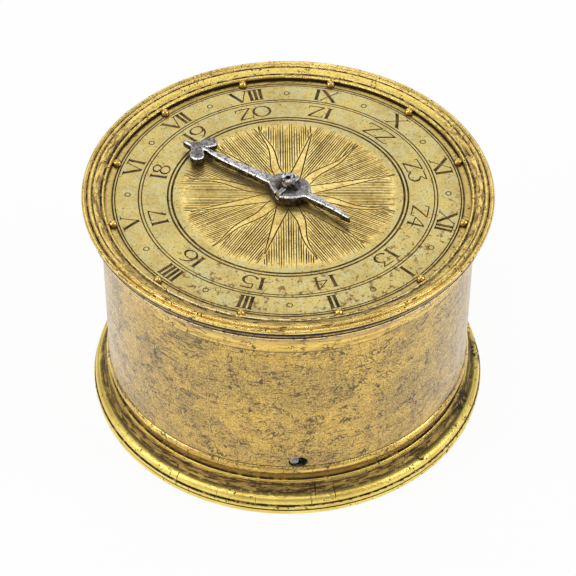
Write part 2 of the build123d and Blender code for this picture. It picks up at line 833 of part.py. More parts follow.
def fusee():
    """Cone with a round groove for each turn of the line."""
    body_height = fusee_top - fusee_bottom
    outline = Polyline(
        (0, fusee_bottom), (fusee_small_radius, fusee_bottom),
        (fusee_small_radius, fusee_bottom + 0.4), (fusee_large_radius, fusee_top - 0.4),
        (fusee_large_radius, fusee_top), (0, fusee_top), close=True,
    )
    body = turned(outline)
    slope = (fusee_large_radius - fusee_small_radius) / (body_height - 0.8)
    for turn in range(fusee_turns):
        level = line_level() - turn * fusee_pitch
        edge = fusee_small_radius + slope * (level - fusee_bottom - 0.4)
        depth_radius = edge - fusee_groove_depth
        if turn == 0:
            depth_radius = fusee_large_radius - fusee_groove_depth
        groove = Plane.XZ * Pos(depth_radius + 0.55, level) * Circle(0.55)
        body -= revolve(groove, Axis.Z)
        body -= ring(depth_radius + 0.55, edge + 1.5, level - 0.55, level + 0.55)
    body -= disc(fusee_lower_radius(), fusee_bottom, fusee_top)
    return Pos(fusee_place[0], fusee_place[1], 0) * body


def fusee_lower_radius():
    return fusee_arbor_radius + 0.45


def fusee_arbor():
    """Arbor with the winding square below and a long upper pivot inside the great wheel's pipe."""
    lower = disc(fusee_lower_radius(), back_plate_under, ratchet_level + ratchet_thickness, fusee_place)
    upper_end = hour_wheel_level + hour_wheel_thickness + 0.5
    upper = disc(fusee_arbor_radius, ratchet_level, upper_end, fusee_place)
    end = back_plate_under - winding_square_length
    square = block(winding_square, winding_square, end, back_plate_under, fusee_place)
    square = square & disc(0.64 * winding_square, 0, back_plate_under, fusee_place)
    return lower + upper + square


def ratchet():
    """Ratchet wheel on the fusee's large end."""
    body = saw_wheel(
        ratchet_teeth, ratchet_radius, ratchet_thickness, 0.5, ratchet_level,
        fusee_lower_radius(), fusee_place, -1,
    )
    return body


def great_wheel():
    """Great wheel with the pipe that carries it in the top plate."""
    body = wheel(
        great_teeth, great_module, great_thickness, great_level,
        fusee_arbor_radius + running_clearance, 1.6, 5.0, fusee_place, second_direction,
    )
    pipe_top = report_level() + report_length()
    bore = fusee_arbor_radius + running_clearance
    body += ring(bore, pipe_radius, great_level + great_thickness, pipe_top, fusee_place)
    return body


def report_level():
    return hour_wheel_level - 0.3


def report_length():
    return hour_wheel_thickness + 0.6


def report_pinion():
    """Pinion of report, on the pipe above the top plate, which turns the hour wheel."""
    toward_centre = fusee_angle + 180
    gap_first = toward_centre + 180 / report_leaves
    return pinion(
        report_leaves, report_module, report_length(), report_level(), pipe_radius, fusee_place, gap_first,
    )


def click_pivot():
    return at(ratchet_radius + 3.0, click_direction, fusee_place)


def click():
    """Pawl under the great wheel, its nose just clear of the ratchet's tips."""
    level = ratchet_level
    pivot = click_pivot()
    nose = at(ratchet_radius + 0.2, click_direction + 32, fusee_place)
    middle = ((pivot[0] + nose[0]) / 2, (pivot[1] + nose[1]) / 2)
    span = math.dist(pivot, nose)
    angle = math.degrees(math.atan2(nose[1] - pivot[1], nose[0] - pivot[0]))
    low = level + ratchet_gap
    arm = block(span + 0.8, 1.2, low, low + click_thickness, middle, angle)
    arm -= disc(ratchet_radius + 0.1, low - 1, low + 3, fusee_place)
    boss = disc(1.1, low, low + click_thickness, pivot)
    return arm + boss - disc(0.4, 0, great_level, pivot)


def click_rivet():
    low = ratchet_level + ratchet_gap
    pivot = click_pivot()
    return disc(0.4, low - 0.2, great_level, pivot) + disc(0.7, low + click_thickness, great_level, pivot)


def click_spring():
    """Bent leaf under the great wheel that presses the pawl inwards."""
    low = ratchet_level + ratchet_gap
    bow_radius = ratchet_radius + 4.0
    bow = arc_band(
        bow_radius, bow_radius + click_spring_thickness, low, low + click_thickness,
        click_direction - click_spring_start_deg, click_direction - click_spring_end_deg, fusee_place,
    )
    foot_place = at(bow_radius, click_direction - click_spring_start_deg + 2, fusee_place)
    foot = disc(0.6, low, great_level, foot_place)
    return bow + foot


# Train

def train_arbor(place, leaves, module, pinion_level, pinion_length, gap_first):
    """Steel arbor with two pivots and a pinion cut from the same bar."""
    body = disc(train_arbor_radius, back_plate_top + end_shake, top_plate_under - end_shake, place)
    body += disc(pivot_radius, back_plate_under, top_plate_top, place)
    body += pinion(leaves, module, pinion_length, pinion_level, 0, place, gap_first)
    return body


def second_arbor():
    facing = second_direction + 180 + 180 / second_leaves
    overlap = 0.8
    length = great_thickness + 2 * overlap
    return train_arbor(second_place, second_leaves, great_module, great_level - overlap, length, facing)


def second_wheel():
    return wheel(
        second_teeth, second_module, second_thickness, second_level,
        train_arbor_radius, 1.2, 2.2, second_place, contrate_direction,
    )


def contrate_arbor():
    facing = contrate_direction + 180 + 180 / contrate_leaves
    return train_arbor(
        contrate_place, contrate_leaves, second_module, second_level - 0.4, second_thickness + 0.8, facing,
    )


def contrate_wheel():
    """Crossed disc with a rim whose teeth stand up towards the crown pinion."""
    top = contrate_tip_level
    inner = contrate_radius - 0.35
    outer = contrate_radius + 0.35
    body = disc(outer, contrate_disc_level, contrate_disc_level + contrate_thickness, contrate_place)
    for k in range(4):
        window = ring(2.4, inner - 0.9, contrate_disc_level, contrate_disc_level + contrate_thickness)
        corner = ample / 2 + crossing_width / 2
        quarter = Rot(0, 0, 90 * k) * Pos(corner, corner, 0) * Box(ample, ample, 2 * ample)
        body -= Pos(contrate_place[0], contrate_place[1], 0) * (window & quarter)
    tooth_root = top - 2.1 * contrate_module
    body += ring(inner, outer, contrate_disc_level, tooth_root, contrate_place)
    step = 360 / contrate_teeth
    root_width = 0.46 * math.pi * contrate_module
    tip_width = 0.2 * math.pi * contrate_module
    for k in range(contrate_teeth):
        degrees = verge_direction + k * step
        x, y = at(inner, degrees, contrate_place)
        across, outwards = at(1, degrees + 90), at(1, degrees)
        lay = Plane(origin=(x, y, tooth_root), x_dir=(*across, 0), z_dir=(*outwards, 0)).location
        height = top - tooth_root
        outline = Polyline(
            (-root_width / 2, 0), (root_width / 2, 0), (tip_width / 2, height), (-tip_width / 2, height),
            close=True,
        )
        body += lay * extrude(make_face(outline), outer - inner)
    return body - disc(train_arbor_radius, 0, ample, contrate_place)


# Escapement

def crown_place(distance):
    """A place on the crown wheel's level axis, measured from the verge, with +Z away from the verge."""
    x, y = at(distance, crown_direction, verge_place)
    outwards = at(1, crown_direction)
    return Plane(origin=(x, y, crown_axis_level), x_dir=(0, 0, -1), z_dir=(*outwards, 0)).location


def crown_wheel():
    """Cup-shaped escape wheel with saw teeth that face the verge."""
    body = rod(crown_radius, crown_height)
    cup = rod(crown_radius - crown_rim_thickness, crown_height - crown_web)
    body -= cup + Cylinder(train_arbor_radius, 3 * crown_height)
    window = Circle(crown_radius - 2 * crown_rim_thickness) - Circle(crown_hub_radius)
    for k in range(2):
        window -= Rot(0, 0, 45 + 90 * k) * Rectangle(3 * crown_radius, crown_arm_width)
    body -= extrude(window, crown_height)
    step = 360 / crown_teeth
    pitch = 2 * math.pi * crown_radius / crown_teeth
    for k in range(crown_teeth):
        # a right-angled gap in the developed rim: one side of each tooth stands square, the other slopes
        outline = Polyline(
            (0.12 * pitch, -0.1), (0.98 * pitch, -0.1), (0.98 * pitch, crown_tooth_depth), close=True,
        )
        gap = extrude(make_face(outline), 2 * crown_rim_thickness + 0.4)
        facing = Rot(0, 0, 90) * Rot(90, 0, 0) * Rot(0, 180, 0)
        body -= Rot(0, 0, k * step) * Pos(crown_radius - crown_rim_thickness - 0.3, 0, 0) * facing * gap
    return crown_place(crown_verge_gap) * body


def crown_arbor():
    """Level arbor with the crown wheel at one end and its pinion over the contrate wheel."""
    start = crown_verge_gap + crown_height - crown_web
    end = rear_bearing() + potence_thickness
    shaft = rod(train_arbor_radius, end - start)
    collar = rod(crown_hub_radius - 0.1, front_bearing() - 0.1 - start - crown_web)
    body = crown_place(start) * shaft + crown_place(start + crown_web) * collar
    leaves = pinion(crown_leaves, contrate_module, 2.2, 0, 0, (0, 0), 180 / crown_leaves)
    body += crown_place(crown_pinion_distance - 1.1) * leaves
    return body


def front_bearing():
    return crown_verge_gap + crown_height + 1.0


def rear_bearing():
    return crown_pinion_distance + 2.0


def potence():
    """Bracket under the top plate with a leg on each side of the crown pinion."""
    low = crown_axis_level - 1.6
    start = -2.4
    end = rear_bearing() + potence_thickness
    bar_centre = at((start + end) / 2, crown_direction, verge_place)
    bar = block(
        end - start, potence_width, top_plate_under - potence_bar_height, top_plate_under,
        bar_centre, crown_direction,
    )
    for distance in (front_bearing(), rear_bearing()):
        centre = at(distance + potence_thickness / 2, crown_direction, verge_place)
        bar += block(potence_thickness, potence_width, low, top_plate_under, centre, crown_direction)
    bore = rod(train_arbor_radius + running_clearance, ample)
    bar -= crown_place(0) * bore
    bar -= disc(pivot_radius + running_clearance, 0, top_plate_under, verge_place)
    return bar


def verge():
    """Upright arbor with two pallets at the top and bottom of the crown wheel."""
    low = back_plate_under - cock_drop - cock_thickness
    high = top_plate_under - potence_bar_height
    body = disc(verge_radius, low + cock_thickness + end_shake, high - end_shake, verge_place)
    body += disc(pivot_radius, low, top_plate_under - end_shake, verge_place)
    middle_radius = crown_radius - crown_rim_thickness / 2
    for side in (1, -1):
        level = crown_axis_level + side * middle_radius
        degrees = crown_direction + side * pallet_half_angle
        centre = at(pallet_reach / 2, degrees, verge_place)
        half = pallet_width / 2
        body += block(pallet_reach, pallet_thickness, level - half, level + half, centre, degrees)
    return body


def foliot():
    """Two-armed balance with a weight at each end."""
    top = back_plate_under - foliot_drop
    low = top - foliot_thickness
    body = block(foliot_length, foliot_width, low, top, verge_place, foliot_direction)
    body += disc(1.7, low, top, verge_place)
    for side in (1, -1):
        end = at(side * foliot_length / 2, foliot_direction, verge_place)
        weight_low = (low + top - foliot_weight_height) / 2
        body += disc(foliot_weight_radius, weight_low, weight_low + foliot_weight_height, end)
    return body - disc(verge_radius, 0, back_plate_top, verge_place)


def cock_pins():
    """Two steady pins that fix the cock to the back plate."""
    group = []
    for side in (1, -1):
        place = at(side * 1.6, foliot_direction, cock_foot_place)
        group.append(disc(0.4, back_plate_under - 1.5, back_plate_top, place))
    return group


def cock():
    """Bridge under the foliot that carries the verge's lower pivot."""
    low = back_plate_under - cock_drop - cock_thickness
    direction = foliot_direction + 90
    middle = at(cock_foot_distance / 2, direction, verge_place)
    arm = block(cock_foot_distance, cock_width, low, low + cock_thickness, middle, direction)
    arm += disc(cock_width / 2, low, low + cock_thickness, verge_place)
    foot = block(cock_width, 1.7 * cock_width, low, back_plate_under, cock_foot_place, direction)
    body = arm + foot - disc(pivot_radius + running_clearance, 0, 100, verge_place)
    for pin in cock_pins():
        body -= pin
    return body


# Hour work and hand

def hour_wheel():
    toward_fusee = fusee_angle
    return wheel(
        hour_wheel_teeth, report_module, hour_wheel_thickness, hour_wheel_level,
        hour_arbor_radius + running_clearance, 1.5, 3.2, (0, 0), toward_fusee,
    )


def hub_top():
    return hub_level + hub_thickness


def hour_arbor():
    """Arbor that carries the hand, with a shoulder under the hour wheel."""
    low = top_plate_top + end_shake
    arbor = disc(hour_arbor_radius, low, hub_top() + hour_arbor_end)
    arbor -= disc(hour_arbor_centre_hole, hub_top() + 0.6 * hour_arbor_end, hub_top() + 2 * hour_arbor_end)
    arbor += disc(hour_pivot_radius, top_plate_under, low)
    arbor += disc(2.4, hour_wheel_level - 0.8, hour_wheel_level - 0.02)
    return arbor - hand_pin()


def friction_spring():
    """Dished washer that presses the hour wheel on its shoulder, so the hand can be set."""
    low = hour_wheel_level + hour_wheel_thickness + 0.05
    dish = friction_spring_height
    wide = friction_spring_radius
    outline = Polyline(
        (hour_arbor_radius, low + dish), (wide, low), (wide, low + friction_spring_thickness),
        (hour_arbor_radius, low + dish + friction_spring_thickness), close=True,
    )
    return turned(outline)


def hand_pin():
    """Cross pin through the arbor, lying in the hub's groove."""
    start = at(-hand_pin_length / 2, hand_pin_angle)
    return flat_rod(hand_pin_radius, start, hand_pin_angle, hand_pin_length, hub_top() - hand_pin_depth)


def head_outline():
    """Bar and spade head, along +X: round lobes behind, hollow sides towards the point."""
    lobe = hand_lobe_radius
    half = hand_head_width / 2
    bar = hand_bar_end_width / 2
    tip = hand_tip_radius
    side = [
        (0, hand_bar_width / 2),
        (lobe - 0.5, bar),
        (lobe - 1.15, 0.55 * half),
        (lobe - 0.4, 0.95 * half),
        (lobe + 0.45, half),
        (lobe + 1.1, 0.83 * half),
        (lobe + 1.6, 0.39 * half),
        (tip - 1.7, 0.12 * half),
        (tip, 0),
    ]
    other = [(x, -y) for x, y in side]
    return Curve() + [
        Line(side[0], side[1]),
        ThreePointArc(side[1], side[2], side[3]),
        ThreePointArc(side[3], side[4], side[5]),
        ThreePointArc(side[5], side[6], side[7]),
        Line(side[7], side[8]),
        Line(side[8], other[7]),
        ThreePointArc(other[7], other[6], other[5]),
        ThreePointArc(other[5], other[4], other[3]),
        ThreePointArc(other[3], other[2], other[1]),
        Line(other[1], other[0]),
        Line(other[0], side[0]),
    ]


def hub_outline():
    """Lozenge with soft corners on one side."""
    far = hub_length / 2
    wide = hub_width / 2
    return Curve() + [
        Line((far, 0.25 * wide), (-0.1 * far, wide)),
        ThreePointArc((-0.1 * far, wide), (-0.15 * far, 1.01 * wide), (-0.2 * far, wide)),
        Line((-0.2 * far, wide), (-far, 0.25 * wide)),
        Line((-far, 0.25 * wide), (-far, -0.25 * wide)),
        ThreePointArc((-far, -0.25 * wide), (-0.72 * far, -0.7 * wide), (-0.28 * far, -0.97 * wide)),
        ThreePointArc((-0.28 * far, -0.97 * wide), (0.38 * far, -0.87 * wide), (far, -0.25 * wide)),
        Line((far, -0.25 * wide), (far, 0.25 * wide)),
    ]


def tail_outline():
    root = hand_tail_width / 2
    end = hand_tail_end_width / 2
    far = hand_tail_length
    return Curve() + [
        Line((0, root), (-far + end, end)),
        ThreePointArc((-far + end, end), (-far, 0), (-far + end, -end)),
        Line((-far + end, -end), (0, -root)),
        Line((0, -root), (0, root)),
    ]


def hand():
    """Forged hand with a spade head, a lozenge hub and a plain tail, all level on top."""
    low = hub_top() - hand_thickness
    body = Pos(0, 0, low) * extrude(make_face(head_outline()), hand_thickness)
    body += Pos(0, 0, low) * Rot(0, 0, hand_tail_set_deg) * extrude(make_face(tail_outline()), hand_thickness)
    body += Pos(0, 0, hub_level) * extrude(make_face(hub_outline()), hub_thickness)
    body = Rot(0, 0, hand_angle) * body
    body -= disc(hour_arbor_radius, 0, hub_top() + hub_thickness)
    groove_start = at(-hub_length, hand_pin_angle)
    groove_radius = hand_pin_radius + running_clearance
    groove_level = hub_top() - hand_pin_depth
    groove = flat_rod(groove_radius, groove_start, hand_pin_angle, 2 * hub_length, groove_level)
    groove += block(
        2 * hub_length, 2 * groove_radius, groove_level, hub_top() + hub_thickness, (0, 0), hand_pin_angle,
    )
    return body - groove


pieces = {
    "base_ring": base_ring(),
    "base_plate": base_plate(),
    "hinge_base_leaf": hinge_base_leaf(),
    "hinge_pin": hinge_pin(),
    "hinge_drum_leaf": hinge_drum_leaf(),
    "drum_wall": drum_wall(),
    "rim": rim(),
    "dial": dial(),
    "touch_pins": touch_pins(),
    "catch_bolt": catch_bolt(),
    "catch_rivets": catch_rivets(),
    "top_plate": top_plate(),
    "back_plate": back_plate(),
    "pillars": pillars(),
    "pillar_pins": pillar_pins(),
    "dial_feet": dial_feet(),
    "dial_foot_pins": dial_foot_pins(),
    "barrel": barrel(),
    "barrel_lid": barrel_lid(),
    "barrel_arbor": barrel_arbor(),
    "mainspring": mainspring(),
    "setup_ratchet": setup_ratchet(),
    "setup_click": setup_click(),
    "gut_line": gut_line(),
    "fusee": fusee(),
    "fusee_arbor": fusee_arbor(),
    "ratchet": ratchet(),
    "great_wheel": great_wheel(),
    "report_pinion": report_pinion(),
    "click": click(),
    "click_rivet": click_rivet(),
    "click_spring": click_spring(),
    "second_wheel": second_wheel(),
    "second_arbor": second_arbor(),
    "contrate_wheel": contrate_wheel(),
    "contrate_arbor": contrate_arbor(),
    "crown_wheel": crown_wheel(),
    "crown_arbor": crown_arbor(),
    "potence": potence(),
    "verge": verge(),
    "foliot": foliot(),
    "cock": cock(),
    "cock_pins": cock_pins(),
    "hour_wheel": hour_wheel(),
    "hour_arbor": hour_arbor(),
    "friction_spring": friction_spring(),
    "hour_hand": hand(),
    "hand_pin": hand_pin(),
}

os.makedirs("parts", exist_ok=True)
for name, shape in pieces.items():
    solids = []
    for piece in shape if isinstance(shape, list) else [shape]:
        solids += piece.solids()
    whole = solids[0] if len(solids) == 1 else Compound(children=solids)
    export_step(whole, f"parts/{name}.step")
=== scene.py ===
import json
import math
import random

import bpy
from mathutils import Matrix, Vector
from mathutils.geometry import delaunay_2d_cdt


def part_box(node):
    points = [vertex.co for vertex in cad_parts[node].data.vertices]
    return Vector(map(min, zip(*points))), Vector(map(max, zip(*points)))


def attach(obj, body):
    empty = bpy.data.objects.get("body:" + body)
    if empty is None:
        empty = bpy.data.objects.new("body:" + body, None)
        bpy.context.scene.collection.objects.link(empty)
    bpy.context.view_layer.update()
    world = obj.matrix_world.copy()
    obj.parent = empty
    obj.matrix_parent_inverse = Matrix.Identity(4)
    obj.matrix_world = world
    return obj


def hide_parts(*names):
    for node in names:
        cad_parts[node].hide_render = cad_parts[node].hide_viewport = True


# A drum clock in worn gilt brass. The shapes are worked out in millimetres and written in metres.
MM = 0.001

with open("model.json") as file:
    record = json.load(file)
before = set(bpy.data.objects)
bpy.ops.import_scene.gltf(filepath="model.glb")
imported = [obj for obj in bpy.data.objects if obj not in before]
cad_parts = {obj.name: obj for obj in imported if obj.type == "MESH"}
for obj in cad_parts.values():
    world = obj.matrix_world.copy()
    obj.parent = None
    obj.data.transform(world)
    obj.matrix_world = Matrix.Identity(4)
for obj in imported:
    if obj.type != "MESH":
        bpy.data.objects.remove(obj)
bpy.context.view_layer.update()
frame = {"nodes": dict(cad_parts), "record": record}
nodes = frame["nodes"]


def level(node, end):
    """Lowest (0) or highest (1) level of a node, in millimetres."""
    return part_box(node)[end].z / MM


def reach(node):
    """Radius of a round node about the clock's own axis, in millimetres."""
    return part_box(node)[1].x / MM


def polar(radius, degrees):
    """Place at a radius and a direction, anticlockwise from +X."""
    angle = math.radians(degrees)
    return radius * math.cos(angle), radius * math.sin(angle)


# Mouldings of the drum wall and rim
wall_radius = 33.85
cornice_height = 6.68
foot_bead_height = 3.28
rim_spigot = 0.29

# Dial layout
dial_top = level("dial", 1)
dial_bottom = level("dial", 0)
dial_radius = reach("dial")
arbor_hole_radius = 2.0
twelve_angle = -14.3
hours = 12
hour_step = 360 / hours

# Engraved rings: radius, width and depth
engraved_rings = (
    (31.55, 0.3, 0.14),
    (31.08, 0.24, 0.12),
    (26.85, 0.26, 0.12),
    (26.3, 0.22, 0.1),
    (21.6, 0.36, 0.14),
    (20.9, 0.42, 0.18),
)
half_hour_radius = 28.8
half_hour_circle = 0.48
half_hour_line = 0.2
half_hour_depth = 0.08
roman_base = 27.35
roman_height = 3.2
roman_depth = 0.16
inner_base = 22.4
inner_height = 3.1
inner_depth = 0.14
least_depth = 0.05
dial_edge_points = 288
hole_edge_points = 48

# Sun: tip radius of each ray and whether it is wavy, from the hour of twelve clockwise
sun_rays = (
    (19.6, True), (18.7, False), (17.9, True), (16.4, False), (19.3, True), (18.0, False),
    (18.5, True), (18.5, False), (19.8, True), (17.5, False), (18.7, True), (20.1, False),
)
ray_root_radius = 3.2
straight_root_half_width = 1.12
wavy_root_half_width = 0.98
ray_taper = 1.1
wave_length = 11.0
wave_height = 0.32
wave_start = 4.5
wave_rise = 4.0
ray_line_gap = 0.07
ray_line_width = 0.27
ray_line_thinning = 0.12
ray_line_depth = 0.1
ray_line_steps = 22
hatch_step = 0.43
hatch_field_width = 10.8
hatch_first_radius = 3.9
hatch_last_radius = 19.5
hatch_margin = 0.2
hatch_shortest = 1.2
hatch_thinnest = 0.05
hatch_depth = 0.08
hatch_steps = 5

# Hand layout
hub_top = level("hour_hand", 1)
hub_bottom = level("hour_hand", 0)
blade_thickness = 1.3
hand_angle = 147.0
pin_angle = 51.5
groove_half_width = 0.52
groove_depth = 0.85
head_chamfer = 0.24
tail_chamfer = 0.22
hub_chamfer = 0.28
hidden_chamfer = 0.02
skin_voxel = 0.085
dent_size = 1.3
dent_height = 0.16
dent_middle = 0.62


def placed(name, data):
    thing = bpy.data.objects.new(name, data)
    bpy.context.scene.collection.objects.link(thing)
    return thing


# Materials

class Paint:
    """A material, built from nodes by short calls. Its coordinates are in millimetres."""

    def __init__(self, name):
        self.material = bpy.data.materials.new(name)
        self.material.use_nodes = True
        self.tree = self.material.node_tree
        self.surface = self.tree.nodes["Principled BSDF"]
        self.coordinates = self.node("TexCoord").outputs
        in_metres = self.coordinates["Object"]
        self.place = self.node("VectorMath", {0: in_metres, "Scale": 1 / MM}, operation="SCALE").outputs[0]
        self.x, self.y, self.z = self.node("SeparateXYZ", {0: self.place}).outputs

    def put(self, value, socket):
        """Links a socket, or sets a colour or number, on an input."""
        if isinstance(value, bpy.types.NodeSocket):
            self.tree.links.new(value, socket)
        elif isinstance(value, (tuple, list)) and len(value) == 3 and socket.type == "RGBA":
            socket.default_value = (*value, 1)
        else:
            socket.default_value = value

    def node(self, kind, inputs=None, **settings):
        """A new node, with its settings and what goes into its inputs."""
        node = self.tree.nodes.new("ShaderNode" + kind)
        for name, value in settings.items():
            setattr(node, name, value)
        for key, value in (inputs or {}).items():
            self.put(value, node.inputs[key])
        return node

    def math(self, operation, a, b=0.0, clamp=False):
        return self.node("Math", {0: a, 1: b}, operation=operation, use_clamp=clamp).outputs[0]

    def vector(self, x, y, z):
        return self.node("CombineXYZ", {0: x, 1: y, 2: z}).outputs[0]

    def radius(self):
        squares = self.math("ADD", self.math("POWER", self.x, 2), self.math("POWER", self.y, 2))
        return self.math("SQRT", squares)

    def azimuth(self):
        """Angle about the clock's axis in radians, 0 at the front, growing to the right."""
        return self.math("ARCTAN2", self.x, self.math("MULTIPLY", self.y, -1))

    def along(self, radius):
        """Distance round a circle of the given radius. The join lies at the back."""
        return self.math("MULTIPLY", self.azimuth(), radius)

    def unrolled(self, radius):
        """Distance round the wall, and level."""
        return self.vector(self.along(radius), self.z, 0)

    def stretched(self, place, x, y, z, degrees=0):
        """Place scaled and turned, so that a pattern on it comes out stretched."""
        turn = (0, 0, math.radians(degrees))
        return self.node("Mapping", {"Vector": place, "Scale": (x, y, z), "Rotation": turn}).outputs[0]

    def noise(self, size, detail=3.0, roughness=0.55, distortion=0.0, place=None):
        """Cloudy pattern from 0 to 1 whose patches are about size millimetres across."""
        return self.node("TexNoise", {
            "Vector": place or self.place, "Scale": 1 / size, "Detail": detail, "Roughness": roughness,
            "Distortion": distortion,
        }).outputs[0]

    def window(self, value, low, high, first=0.0, last=1.0):
        """Smooth step from first at low to last at high."""
        inputs = {"Value": value, "From Min": low, "From Max": high, "To Min": first, "To Max": last}
        return self.node("MapRange", inputs, interpolation_type="SMOOTHSTEP").outputs[0]

    def line(self, value, centre, half, soft):
        """1 within half of centre, falling to 0 over soft more."""
        away = self.math("ABSOLUTE", self.math("SUBTRACT", value, centre))
        return self.window(away, half, half + soft, 1.0, 0.0)

    def span(self, value, start, full, last, end):
        """Rises from 0 at start to 1 at full, and falls from 1 at last to 0 at end."""
        return self.times(self.window(value, start, full), self.window(value, end, last))

    def most(self, *masks):
        result = masks[0]
        for mask in masks[1:]:
            result = self.math("MAXIMUM", result, mask)
        return result

    def times(self, *masks):
        result = masks[0]
        for mask in masks[1:]:
            result = self.math("MULTIPLY", result, mask, clamp=True)
        return result

    def blend(self, mask, a, b):
        """Number from a to b. What mix() does for colours."""
        return self.node("Mix", {0: mask, 2: a, 3: b}).outputs[0]

    def mix(self, mask, a, b):
        return self.node("Mix", {0: mask, 6: a, 7: b}, data_type="RGBA").outputs[2]

    def between(self, value, low, high, a, b):
        """Colour from a, where value is low, to b, where it is high."""
        return self.mix(self.window(value, low, high), a, b)

    def cover(self, colour, mask, share, tint):
        """Colour with a share of tint over it."""
        return self.mix(self.times(mask, share), colour, tint)

    def stain(self, colour, value, low, high, share, tint):
        """Colour with a share of tint where value is high."""
        return self.cover(colour, self.window(value, low, high), share, tint)

    def patches(self, low, high, *noise):
        """Mask of the places where a noise is high."""
        return self.window(self.noise(*noise), low, high)

    def ragged(self, lines, least, low, high, size):
        """Lines that fade to their least strength here and there."""
        return self.times(lines, self.blend(self.patches(low, high, size, 4, 0.7), least, 1.0))

    def pits(self, spacing, near, far, clusters, low, high):
        """Round pits at scattered points, only where clusters is high."""
        distance = self.node("TexVoronoi", {"Vector": self.place, "Scale": 1 / spacing}).outputs["Distance"]
        return self.times(self.window(distance, near, far, 1.0, 0.0), self.window(clusters, low, high))

    def opposite(self, mask):
        return self.math("SUBTRACT", 1.0, mask)

    def bump(self, *layers):
        """Each layer is a height from 0 to 1 and its depth in millimetres."""
        inputs = {"Strength": 1.0}
        for height, depth in layers:
            inputs.update({"Height": height, "Distance": depth * MM})
            inputs["Normal"] = self.node("Bump", inputs).outputs[0]
        self.put(inputs["Normal"], self.surface.inputs["Normal"])

    def lacquer(self, weight, index, roughness):
        """Clear coat, which turns pale where it is seen at a low angle."""
        self.put(weight, self.surface.inputs["Coat Weight"])
        self.put(index, self.surface.inputs["Coat IOR"])
        self.put(roughness, self.surface.inputs["Coat Roughness"])

    def finish(self, colour, roughness, metallic):
        self.put(colour, self.surface.inputs["Base Color"])
        self.put(roughness, self.surface.inputs["Roughness"])
        self.put(metallic, self.surface.inputs["Metallic"])
        return self.material

    def finish_worn(self, colour, roughness, grime_and_shade, grime_and_shade_roughness, grime_and_shade_metallic):
        """Finish of bare metal with a duller layer over it, for dirt and for painted shade."""
        rough = self.blend(grime_and_shade, roughness, grime_and_shade_roughness)
        return self.finish(colour, rough, self.blend(grime_and_shade, 1.0, grime_and_shade_metallic))


# Near black, for tarnish in grooves and for painted shade in gaps, under overhangs, in recesses and at the
# feet of the pins.
tarnish_and_shade_black = (0.012, 0.009, 0.006)
dirt_brown = (0.07, 0.042, 0.016)


